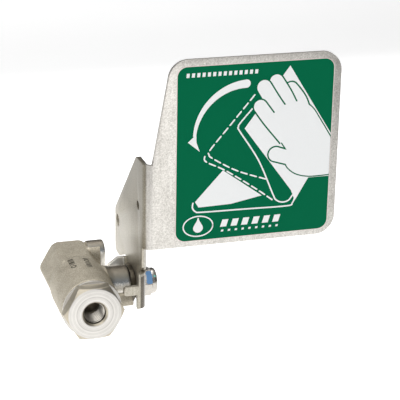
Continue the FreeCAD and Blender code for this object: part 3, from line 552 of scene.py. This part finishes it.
# %% Handle nut
NUT_DARK, NUT_LIGHT = (0.38, 0.36, 0.32), (0.58, 0.55, 0.51)
PATCH_BLUE, SPOT_BLUE_GREEN = (0.14, 0.30, 0.56), (0.22, 0.55, 0.50)
# the patch and the spot: degrees round the stem from the top towards the front, and mm along the nut
PATCH_TURN, PATCH_REACH = (27.0, 78.0), (2.2, 5.2)
SPOT_TURN, SPOT_REACH = (44.0, 52.0), (6.3, 7.3)


def nut_finish():
    """Turned rings, a blue patch on the flat that faces forward and up, and a blue-green spot on the
    collar.
    """
    finish = turned_finish("zinc_nut", "stem", NUT_DARK, NUT_LIGHT, 0.22)
    x, y, z = finish.axes()
    turn = finish.angle((y - STEM_Y) * -1.0, z) * (180.0 / math.pi)
    reach = (x - float(low("handle_nut")[0])) * 1000.0
    ragged = (finish.noise(900.0, 3.0) - 0.5) * 1.6
    patch = (turn + ragged * 5.0).between(*PATCH_TURN, 2.0) * (reach + ragged).between(*PATCH_REACH, 0.2)
    spot = turn.between(*SPOT_TURN, 2.0) * reach.between(*SPOT_REACH, 0.3)
    patched = finish.blend(patch, finish.blend(finish.noise(500.0), NUT_DARK, NUT_LIGHT), PATCH_BLUE)
    finish.set("Base Color", finish.blend(spot, patched, SPOT_BLUE_GREEN))
    finish.set("Metallic", 1.0 - (patch + spot).clamp() * 0.85)
    finish.set("Roughness", patch * 0.15 + 0.22)
    return finish


nut_metal = nut_finish()
print("nut finish:", len(nut_metal.tree.nodes), "nodes")


# %% [markdown]
# Sheet steel comes from the mill with a flat grain, and tumbling in a drum of stones then clouds it
# with tiny dents.  Two sizes of noise give the clouds, and a stretched noise keeps a little of the
# mill's upright grain.

# %% Sheet steel
SHEET_DARK, SHEET_LIGHT = (0.34, 0.322, 0.292), (0.66, 0.638, 0.60)
# painted light on the sheet: painted shade on the arm and its lip, painted reflection on its foot, a
# painted highlight on its tab and painted shading on the bend
ARM_PAINTED_SHADE_DARK, ARM_PAINTED_SHADE_LIGHT = (0.11, 0.098, 0.073), (0.24, 0.22, 0.175)
FOOT_PAINTED_REFLECTION_DARK, FOOT_PAINTED_REFLECTION_LIGHT = (0.28, 0.258, 0.21), (0.47, 0.44, 0.375)
LIP_PAINTED_SHADE_DARK, LIP_PAINTED_SHADE_LIGHT = (0.09, 0.08, 0.065), (0.18, 0.165, 0.14)
TAB_PAINTED_HIGHLIGHT_DARK, TAB_PAINTED_HIGHLIGHT_LIGHT = (0.80, 0.77, 0.71), (0.95, 0.93, 0.89)
BEND_PAINTED_SHADING_DARK, BEND_PAINTED_SHADING_LIGHT = (0.34, 0.325, 0.30), (0.56, 0.54, 0.51)
ARM_OUTER = float(low("handle_washer")[0])
# places in metres, and along the pipe in mm from the stem axis
FOOT_TOP, FOOT_FADE = 0.045, 45.0  # painted reflection: the arm gets lighter below this z, fully 1 / 45 m further down
LIP_TOP, LIP_FRONT, LIP_DEEP = 0.0125, -17.6, 0.0034
TAB_DEEP, TAB_BACK = 0.0036, 12.0
BEND_FADE = 900.0  # the arm's painted tones end at its outer face, within 1 / 900 m
# painted shading on the bend: its reach about the arm's outer face and softness in metres, and its front
# in mm
BEND_BAND_START, BEND_BAND_END, BEND_BAND_EDGE, BEND_BAND_FRONT = 0.0008, 0.0016, 0.0006, -20.0


def sheet_finish():
    """Clouded sheet with painted light: painted shade makes the arm darker than the flag and its lip
    darker still, a painted reflection lightens the arm's foot, a painted highlight lights its tab, and
    painted shading gives the outside of the bend a tone between arm and flag."""
    finish = Finish("sheet_stainless", 1.0)
    mottle = finish.noise(1300.0, 4.0, 0.8)
    cloud = finish.noise(90.0, 2.0)
    mill = finish.noise(700.0, 2.0, stretch=(1.0, 1.0, 0.08))
    tone = ((mottle * 0.76 + mill * 0.12 + cloud * 0.12 - 0.36) * 4.2).clamp()
    x, y, z = finish.axes()
    back = (y - STEM_Y) * 1000.0

    # painted reflection lightens the lower arm
    foot = ((FOOT_TOP - z) * FOOT_FADE).clamp()
    arm = finish.blend(
        foot, finish.blend(tone, ARM_PAINTED_SHADE_DARK, ARM_PAINTED_SHADE_LIGHT), finish.blend(tone, FOOT_PAINTED_REFLECTION_DARK, FOOT_PAINTED_REFLECTION_LIGHT))
    # painted shade on the front lip
    lip = z.below(LIP_TOP) * back.below(LIP_FRONT) * x.above(ARM_OUTER - LIP_DEEP)
    arm = finish.blend(lip, arm, finish.blend(tone, LIP_PAINTED_SHADE_DARK, LIP_PAINTED_SHADE_LIGHT))
    # painted highlight on the rear tab
    tab = x.below(ARM_OUTER - TAB_DEEP) * back.above(TAB_BACK)
    arm = finish.blend(tab, arm, finish.blend(tone, TAB_PAINTED_HIGHLIGHT_DARK, TAB_PAINTED_HIGHLIGHT_LIGHT))

    past_bend = ((x - ARM_OUTER) * BEND_FADE).clamp()
    sheet = finish.blend(past_bend, arm, finish.blend(tone, SHEET_DARK, SHEET_LIGHT))
    # painted shading on the outside of the bend
    on_bend = x.between(ARM_OUTER - BEND_BAND_START, ARM_OUTER + BEND_BAND_END, BEND_BAND_EDGE)
    on_bend = on_bend * back.below(BEND_BAND_FRONT)
    bend_painted_shading = finish.blend(tone, BEND_PAINTED_SHADING_DARK, BEND_PAINTED_SHADING_LIGHT)
    finish.set("Base Color", finish.blend(on_bend * 0.8, sheet, bend_painted_shading))
    finish.set("Roughness", mottle * 0.18 + 0.32)
    finish.bump(mottle * 3.0e-5 + mill * 6.0e-6)
    return finish


sheet_steel = sheet_finish()
print("sheet finish:", len(sheet_steel.tree.nodes), "nodes")


# %% [markdown]
# The soft parts are mostly out of sight, between the steel ones: white seats and packing of filled
# fluoropolymer, a black o-ring, and the blue nylon ring that makes the handle nut hold.  The ball
# is polished, because it slides in its seats.

# %% Soft parts and the ball
def plain_finish(name, dark, light, rough, metallic=0.0, scale=900.0, depth=4.0e-6):
    """One material in two close tones that follow a fine noise, with a faint relief."""
    finish = Finish(name, metallic)
    grain = finish.noise(scale, 3.0)
    finish.set("Base Color", finish.blend(grain, dark, light))
    finish.set("Roughness", grain * 0.12 + rough - 0.06)
    finish.bump(grain * depth)
    return finish


white_polymer = plain_finish("ptfe", (0.78, 0.77, 0.72), (0.88, 0.87, 0.83), 0.50)
rubber = plain_finish("black_rubber", (0.016, 0.016, 0.016), (0.040, 0.040, 0.040), 0.60)
nylon = plain_finish("blue_nylon", (0.06, 0.18, 0.42), (0.10, 0.26, 0.54), 0.40)
polished = plain_finish(
    "polished_stainless", (0.70, 0.70, 0.69), (0.78, 0.78, 0.77), 0.10, 1.0, 2500.0, 5.0e-7)
ink = plain_finish(
    "white_ink", (0.68, 0.69, 0.69), (0.73, 0.74, 0.74), 0.34, scale=2500.0, depth=1.0e-6)
print("plain finishes made:", len(bpy.data.materials), "materials so far")


# %% [markdown]
# The sign is a printed laminate.  Its green ground stops a hair short of the cut edge and leaves a
# pale line round it.  The distance to a rounded rectangle gives that line: inside the corner squares
# it is a distance to a point, elsewhere a distance to a side.

# %% Green laminate
GREEN_DARK, GREEN_LIGHT, CUT_EDGE = (0.0, 0.101, 0.042), (0.0, 0.119, 0.053), (0.72, 0.62, 0.60)
CORNER, LINE, LINE_EDGE = 0.0055, 0.00035, 8000.0  # metres, metres and 1 / metres


def sign_finish():
    """Green inside a pale line, by the distance to the sign's rounded outline, less than 0 inside."""
    finish = Finish("green_sign", Specular_IOR_Level=0.03)
    x, y, z = finish.axes()
    centre, half = (SIGN_LOW + SIGN_HIGH) / 2, (SIGN_HIGH - SIGN_LOW) / 2
    across = (x - float(centre[0])).absolute() - float(half[0] - CORNER)
    up = (z - float(centre[2])).absolute() - float(half[2] - CORNER)
    outside = finish.radius(across.larger(0.0), up.larger(0.0))
    inside = across.larger(up) * -1.0
    to_edge = (outside - CORNER) * outside.above(1e-6)
    to_edge = to_edge - (inside.larger(0.0) + CORNER) * outside.below(1e-6)
    edge = ((to_edge + LINE) * LINE_EDGE).clamp()
    fibre = finish.noise(2200.0, 3.0)
    finish.set("Base Color", finish.blend(edge, finish.blend(fibre, GREEN_DARK, GREEN_LIGHT), CUT_EDGE))
    finish.set("Roughness", fibre * 0.10 + 0.42)
    finish.bump(fibre * 2.0e-6)
    return finish


green = sign_finish()
print("finishes:", len(bpy.data.materials))


# %% [markdown]
# ## The casting's skin
# CAD leaves the neck, the barrel and the inlet hexagon meeting in sharp corners.  In a wax pattern
# every inner corner is filled by a fillet and every outer one is worn round.  The skin is the CAD
# solid made again from small cubes, and then relaxed: each point moves towards the mean of its
# neighbours, again and again, but only on surfaces that stay as cast.  The machined rim, the neck's
# end and the inside keep their shape, because their points do not move.

# %% Which points may move
RIM = (low("body_casting")[1] - STEM_Y) / MM
INLET = (high("body_casting")[1] - STEM_Y) / MM
NECK_END = high("body_casting")[0] / MM
# in mm: nearer the pipe axis, or nearer the stem axis past an x, lies the machined inside
PIPE_INSIDE, STEM_INSIDE, STEM_SIDE = 13.4, 8.5, 15.0
HELD, FADE = 0.5, 0.8  # mm held fast behind a machined end, and mm over which freedom grows


def cast_surface(points):
    """How free each point is to move, 1 on surfaces left as cast and 0 on machined ones."""
    x, y, z = points.T / MM
    y = y - STEM_Y / MM
    from_pipe, from_stem = np.hypot(x, z), np.hypot(y, z)
    outer = np.where(x > STEM_SIDE, from_stem > STEM_INSIDE, from_pipe > PIPE_INSIDE)
    front = np.clip((y - (RIM + HELD)) / FADE, 0, 1)
    rear = np.clip((INLET - HELD - y) / FADE, 0, 1)
    neck = np.clip((NECK_END - HELD - x) / FADE, 0, 1)
    return outer * front * rear * neck


print("casting from", round(RIM, 1), "to", round(INLET, 1), "mm, neck to", round(NECK_END, 1), "mm")

# %% Relax the casting
def relax(mesh, rounds, pull):
    """Moves free points towards the mean of their neighbours: p + freedom * pull * (mean - p)."""
    count = len(mesh.vertices)
    points = np.empty(count * 3)
    mesh.vertices.foreach_get("co", points)
    points = points.reshape(count, 3)
    edges = np.empty(len(mesh.edges) * 2, int)
    mesh.edges.foreach_get("vertices", edges)
    first, second = edges.reshape(-1, 2).T
    share = np.bincount(edges, minlength=count).clip(1)
    freedom = cast_surface(points)[:, None] * pull
    for _ in range(rounds):
        total = np.stack([
            np.bincount(first, points[second, k], count) + np.bincount(second, points[first, k], count)
            for k in range(3)
        ], -1)
        points = points + freedom * (total / share[:, None] - points)
    mesh.vertices.foreach_set("co", points.ravel())
    mesh.update()


def make_cast_skin(voxel, rounds, pull):
    """Rebuilds the casting from cubes of one size, in metres, and relaxes it."""
    rough_copy = bpy.data.objects.new("rough_copy", merged_copy("body_casting"))
    bpy.context.scene.collection.objects.link(rough_copy)
    remesh = rough_copy.modifiers.new("cubes", "REMESH")
    remesh.mode, remesh.voxel_size = "VOXEL", voxel
    ready = rough_copy.evaluated_get(bpy.context.evaluated_depsgraph_get())
    mesh = bpy.data.meshes.new_from_object(ready)
    bpy.data.objects.remove(rough_copy)
    mesh.name = "cast_skin"
    relax(mesh, rounds, pull)
    skin = add_piece("cast_skin", mesh, "valve_body", cast)
    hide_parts("body_casting")
    return skin


skin = make_cast_skin(voxel=0.00036, rounds=14, pull=0.5)
print("cast skin:", len(skin.data.polygons), "faces")


# %% [markdown]
# ## Machined and bent parts
# The plug, the nuts and the flag keep their CAD shape, with edges as they are after deburring: a
# tenth or two of a millimetre of roundness, enough to catch a line of light.

# %% Soften the steel parts
soften("end_plug", "valve_body", plug_steel, 0.00012)
soften("gland_nut", "handle", dark_steel, 0.00012)
soften("handle_nut", "handle", nut_metal, 0.00012)
soften("handle_washer", "handle", spring_metal, 0.00015)
soften("push_flag", "handle", sheet_steel, 0.00025)


# %% [markdown]
# ## Pipe threads
# Both ports are tapped with a pipe thread of 18 turns to the inch.  A cutting tap leaves a V groove
# that climbs round the bore.  The surface is a tube whose radius depends on how far a point is
# along the axis less how far it is round it: that difference, divided by the pitch, runs through
# one V per turn.

# %% Cut the threads
PITCH = 25.4 / 18  # this and the next ones in mm
ROOT_RADIUS, DEPTH, LENGTH, SET_BACK = 5.87, 0.80, 12.6, 1.0
COLUMNS, ROWS_PER_TURN = 97, 14
SEAM_WITHIN = 1e-7  # metres; the first and last columns of the tube become one
STEEP, ROOT_FLAT = 1.25, 0.12  # the V is steeper than its pitch allows and cut flat at both ends
PLUG_FACE = (low("end_plug")[1] - STEM_Y) / MM


def make_thread(name, mouth, inward):
    """A thread's flanks from a mouth plane in mm, inward being +1 or -1 along the pipe axis: the
    radius is the root's less the depth times a V of (distance / pitch - turns round the bore)."""
    rows = int(LENGTH / PITCH * ROWS_PER_TURN)
    around = np.linspace(0, 2 * np.pi, COLUMNS)[None, :]
    along = np.linspace(0, LENGTH, rows)[:, None]
    turn = along / PITCH - around / (2 * np.pi)
    vee = np.abs((turn % 1.0) * 2 - 1)
    fade = np.clip(along / PITCH, 0, 1) * np.clip((LENGTH - along) / PITCH, 0, 1)
    radius = ROOT_RADIUS - DEPTH * np.clip(vee * STEEP - ROOT_FLAT, 0, 1) * fade
    y = STEM_Y / MM + mouth + inward * along
    points = np.stack(np.broadcast_arrays(
        radius * np.cos(around), y, radius * np.sin(around) * inward), -1) * MM
    mesh = grid_mesh(name, points)
    work = bmesh.new()
    work.from_mesh(mesh)
    bmesh.ops.remove_doubles(work, verts=work.verts, dist=SEAM_WITHIN)
    work.to_mesh(mesh)
    work.free()
    return add_piece(name, mesh, "valve_body", thread_steel)


outlet = make_thread("outlet_thread", PLUG_FACE + SET_BACK, 1)
make_thread("inlet_thread", INLET - SET_BACK, -1)
print("each thread:", len(outlet.data.polygons), "faces,", round(LENGTH / PITCH, 1), "turns")


# %% [markdown]
# ## The print on the sign
# The picture says what to do without words: a hand pushes a standing plate, and the plate goes down
# along the arrow until it lies flat.  Dashes show the plate half way.  All of it is a few hundredths
# of a millimetre of ink, drawn as flat shapes just above the green.  The hand is a plain one: each
# finger is a rounded strip of ink on a wider green strip, which parts it from the one behind.
# Outlines are a few points in millimetres from the sign's lower left corner, and a smooth curve
# through them.  Where a maker would put a name, this sign has plain bars and a drop of water.

# %% Curves on the sign
HAIR = 0.0005  # mm between two shapes of one layer of ink


def smooth_curve(points, steps=8, closed=False):
    """A Catmull-Rom curve: between two points it is a cubic that also looks at their neighbours."""
    points = np.array(points, float)
    ends = (points[-1:], points[:1], points[1:2]) if closed else (points[:1], points[-1:], points[:0])
    line = np.concatenate([ends[0], points, ends[1], ends[2]])
    a, b, c, e = line[:-3], line[1:-2], line[2:-1], line[3:]
    t = np.linspace(0, 1, steps, endpoint=False)[None, :, None]
    a, b, c, e = (v[:, None, :] for v in (a, b, c, e))
    curve = 0.5 * (2 * b + (c - a) * t + (2 * a - 5 * b + 4 * c - e) * t**2
                   + (3 * b - a - 3 * c + e) * t**3)
    curve = curve.reshape(-1, 2)
    return curve if closed else np.concatenate([curve, points[-1:]])


def on_sign(flat, lift):
    """Points of the sign's plane, in mm from its lower left corner, as places in metres."""
    place = np.zeros((len(flat), 3))
    place[:, 0] = SIGN_LOW[0] + flat[:, 0] * MM
    place[:, 1] = SIGN_FACE - lift * MM
    place[:, 2] = SIGN_LOW[2] + flat[:, 1] * MM
    return place


def fill(outlines, lift):
    """Flat shapes inside closed outlines; each lies a hair above the last, so that none coincide."""
    points, faces, start = [], [], 0
    for number, outline in enumerate(outlines):
        outline = np.asarray(outline, float)
        x, z = outline.T
        if np.sum(x * np.roll(z, -1) - np.roll(x, -1) * z) < 0:
            outline = outline[::-1]
        points.append(on_sign(outline, lift + number * HAIR))
        faces.append(tuple(range(start, start + len(outline))))
        start += len(outline)
    return np.concatenate(points), faces


# %% Strokes, dashes and bars
def stroke(line, width):
    """The outline of a line drawn with a pen of a given width."""
    line = np.asarray(line, float)
    along = np.gradient(line, axis=0)
    along /= np.linalg.norm(along, axis=1, keepdims=True)
    side = np.stack([-along[:, 1], along[:, 0]], -1) * width / 2
    cap = along * width / 2
    return np.concatenate([
        line + side, [line[-1] + cap[-1] + side[-1] * 0.4], [line[-1] + cap[-1] - side[-1] * 0.4],
        (line - side)[::-1], [line[0] - cap[0] - side[0] * 0.4], [line[0] - cap[0] + side[0] * 0.4],
    ])


def dashes(line, dash, gap):
    """Cuts a line into dashes of one length with gaps between them."""
    line = np.asarray(line, float)
    far = np.concatenate([[0], np.cumsum(np.linalg.norm(np.diff(line, axis=0), axis=1))])
    starts = np.arange(0, far[-1] - dash / 2, dash + gap)
    at = [np.linspace(s, min(s + dash, far[-1]), 6) for s in starts]
    return [np.stack([np.interp(a, far, line[:, k]) for k in (0, 1)], -1) for a in at]


def blocks(left, low_edge, widths, tall, gap, slant):
    """A row of slanted bars of given widths."""
    starts = left + np.concatenate([[0], np.cumsum(np.array(widths) + gap)[:-1]])
    return [
        [(s, low_edge), (s + w, low_edge), (s + w + slant, low_edge + tall), (s + slant, low_edge + tall)]
        for s, w in zip(starts, widths)
    ]


# %% One layer of ink
def print_shapes(name, outlines, lift, finish):
    """Adds a set of outlines as one thin layer of ink."""
    points, faces = fill(outlines, lift)
    mesh = bpy.data.meshes.new(name)
    mesh.from_pydata(points.tolist(), [], faces)
    work = bmesh.new()
    work.from_mesh(mesh)
    bmesh.ops.triangulate(work, faces=work.faces)
    work.to_mesh(mesh)
    work.free()
    return add_piece(name, mesh, "handle", finish, smooth=False)


# %% Fingers and arcs
def limb(points, widths):
    """A finger: a smooth curve as wide as widths says, closed by a half circle at its first point."""
    line = smooth_curve(points, 8)
    wide = np.interp(np.linspace(0, 1, len(line)), np.linspace(0, 1, len(widths)), widths) / 2
    along = np.gradient(line, axis=0)
    along /= np.linalg.norm(along, axis=1, keepdims=True)
    side = np.stack([-along[:, 1], along[:, 0]], -1)
    turn = np.linspace(0, np.pi, 12)[1:-1, None]
    tip = line[0] + wide[0] * (np.cos(turn) * -side[0] - np.sin(turn) * along[0])
    return np.concatenate([(line + side * wide[:, None])[::-1], tip[::-1], line - side * wide[:, None]])


def arc(centre, radius, start, end, count):
    """Part of a circle; angles in degrees from the sign's right, growing towards its top."""
    t = np.radians(np.linspace(start, end, count))
    return np.stack([centre[0] + radius * np.cos(t), centre[1] + radius * np.sin(t)], -1)


# %% Arrow and plates
PEN = 0.8  # width of a drawn line, mm
DASH, DASH_GAP = 3.6, 1.9
ARROW_CENTRE, ARROW_RADIUS, ARROW_WIDTHS = (38.0, 55.5), 28.4, [4.4, 3.0, 1.6]
ARROW_HEAD = [(10.6, 58.6), (6.2, 54.6), (12.6, 49.2), (10.8, 54.2)]
FLAT_PLATE = [(10.5, 21.8), (25.4, 38.0), (47.2, 22.2), (30.0, 19.0), (12.5, 18.6)]
FLAT_RIM = [(9.4, 21.2), (9.2, 18.6), (10.9, 16.4), (14.5, 15.8), (38.0, 15.4), (61.5, 15.0),
            (64.6, 16.4), (65.8, 19.2)]
PLATE_RIM = [(40.4, 70.2), (34.2, 63.1), (33.2, 61.0), (34.0, 58.6), (44.8, 41.9), (53.4, 22.4),
             (55.4, 18.9), (58.6, 17.4), (62.2, 18.0), (64.6, 21.0)]
PLATE = [(36.6, 59.9), (60.4, 92.0), (84.6, 53.8), (84.6, 30.0), (73.0, 30.0), (65.9, 17.7),
         (63.5, 23.7)]
DASHED = [
    [(41.6, 77.6), (29.0, 62.6), (18.4, 50.0), (17.6, 47.4), (19.6, 45.0), (33.0, 37.2),
     (49.0, 31.2)],
    [(15.4, 46.4), (16.2, 43.4), (27.1, 37.6), (43.3, 26.6), (54.2, 18.4)],
]
arrow_band = limb(arc(ARROW_CENTRE, ARROW_RADIUS, 92, 176, 12), ARROW_WIDTHS)
rims = [stroke(smooth_curve(line, 6), PEN) for line in (FLAT_RIM, PLATE_RIM)]
dashed = [
    stroke(dash, PEN) for line in DASHED for dash in dashes(smooth_curve(line), DASH, DASH_GAP)
]
print("dashes:", len(dashed))

# %% Drop of water and bars
DROP_MIDDLE, OVAL_SIZE, OVAL_PEN = (12.4, 8.1), (8.1, 5.6), 0.7
DROP = [(12.4, 13.0), (11.6, 11.0), (10.0, 8.2), (9.8, 6.4), (10.9, 5.0), (12.4, 4.5), (13.9, 5.0),
        (15.0, 6.4), (14.8, 8.2), (13.2, 11.0)]
TOP_BARS, NAME_BARS, FOOT_BARS = [1.6] * 14, [3.4] * 6, [1.3] * 9
drop = smooth_curve(DROP, closed=True)
oval = stroke(arc((0, 0), 1.0, 0, 360, 49) * OVAL_SIZE + DROP_MIDDLE, OVAL_PEN)
bars = blocks(4.9, 88.9, TOP_BARS, tall=2.2, gap=1.2, slant=0.2)
bars += blocks(24.5, 6.6, NAME_BARS, tall=4.0, gap=2.4, slant=1.2)
bars += blocks(25.0, 3.9, FOOT_BARS, tall=1.1, gap=2.5, slant=0.2)
print("bars:", len(bars))

# %% Print the white shapes
WHITE_LIFT = 0.03  # mm above the green
white_shapes = [arrow_band, ARROW_HEAD, FLAT_PLATE, PLATE, drop] + rims + dashed + [oval] + bars
print_shapes("sign_print_white", white_shapes, WHITE_LIFT, ink)
print("sign print:", len(white_shapes), "white shapes")

# %% Print the hand
BACK_OF_HAND = [(84.5, 51.6), (78.6, 61.0), (73.0, 69.0), (66.0, 72.5), (57.0, 70.5), (51.0, 64.0),
                (56.0, 53.0), (61.0, 44.5), (60.0, 38.6), (65.0, 33.4), (73.0, 31.0), (84.5, 31.0)]
# each finger from its tip to where it runs into the hand, and its widths along the way; thumb last
FINGERS = [
    ([(61.4, 79.6), (66.4, 72.6), (69.6, 63.4)], (7.0, 7.4, 7.8)),
    ([(53.2, 84.0), (59.0, 74.6), (64.6, 62.6)], (7.4, 7.6, 8.0)),
    ([(46.6, 81.4), (53.0, 71.4), (61.4, 60.0)], (7.6, 7.8, 8.0)),
    ([(44.8, 71.2), (50.6, 63.4), (59.6, 52.8)], (7.0, 7.2, 7.6)),
    ([(54.0, 44.6), (60.0, 42.6), (67.4, 40.6)], (7.6, 7.4, 8.0)),
]
HAND_RIM, FINGER_RIM = 1.3, 1.6  # how much wider the green under the white is, mm
HAND_RIM_LIFT, FINGER_LIFT, LAYER = 0.058, 0.062, 0.006  # mm above the green

back_of_hand = smooth_curve(BACK_OF_HAND, 6)
print_shapes("hand_rim", [stroke(back_of_hand, HAND_RIM)], HAND_RIM_LIFT, green)
for number, (points, widths) in enumerate(FINGERS):
    rim = limb(points, [w + FINGER_RIM for w in widths])
    lift = FINGER_LIFT + 2 * LAYER * number
    print_shapes(f"finger_rim_{number + 1}", [rim], lift, green)
    print_shapes(f"finger_{number + 1}", [limb(points, widths)], lift + LAYER, ink)
print_shapes("back_of_hand", [back_of_hand], FINGER_LIFT + 2 * LAYER * len(FINGERS), ink)
print("fingers:", len(FINGERS))


# %% [markdown]
# ## Dress what is left
# CAD parts whose shape is right stay as they are and only take a finish.

# %% Finish the remaining CAD parts
CAD_FINISHES = {
    "body_gasket": white_polymer, "ball": polished, "seat_inlet": white_polymer,
    "seat_outlet": white_polymer, "stem": stem_steel, "stem_thrust_washer": white_polymer,
    "stem_o_ring": rubber, "packing_base": white_polymer, "packing_middle": white_polymer,
    "packing_top": white_polymer, "gland_ring": stem_steel, "disc_spring_lower": spring_metal,
    "disc_spring_upper": spring_metal, "sign_label": green, "nut_insert": nylon,
    "body_casting": cast, "end_plug": plug_steel, "gland_nut": dark_steel, "handle_nut": nut_metal,
    "handle_washer": spring_metal, "push_flag": sheet_steel,
}
for name, finish in CAD_FINISHES.items():
    wear(nodes[name], finish)
print("pieces dressed:", len(CAD_FINISHES))

# %% Finish the light table and the cards
TABLE_GLOW = 0.34
light_table = plain_finish(
    "light_table", (0.92, 0.92, 0.92), (0.94, 0.94, 0.94), 0.6, scale=6.0, depth=0.0)
light_table.set("Emission Color", (1.0, 1.0, 1.0, 1.0))
light_table.set("Emission Strength", TABLE_GLOW)
wear(floor, light_table)
dark_felt = plain_finish(
    "dark_felt", (0.03, 0.03, 0.03), (0.05, 0.05, 0.05), 0.9, scale=40.0, depth=0.0)
wear(rear_card, dark_felt)
wear(right_card, dark_felt)
print("materials:", len(bpy.data.materials))


# %% [markdown]
# ## Sizes
# The imported model's box sets the floor's depth and the point that the panels aim at.
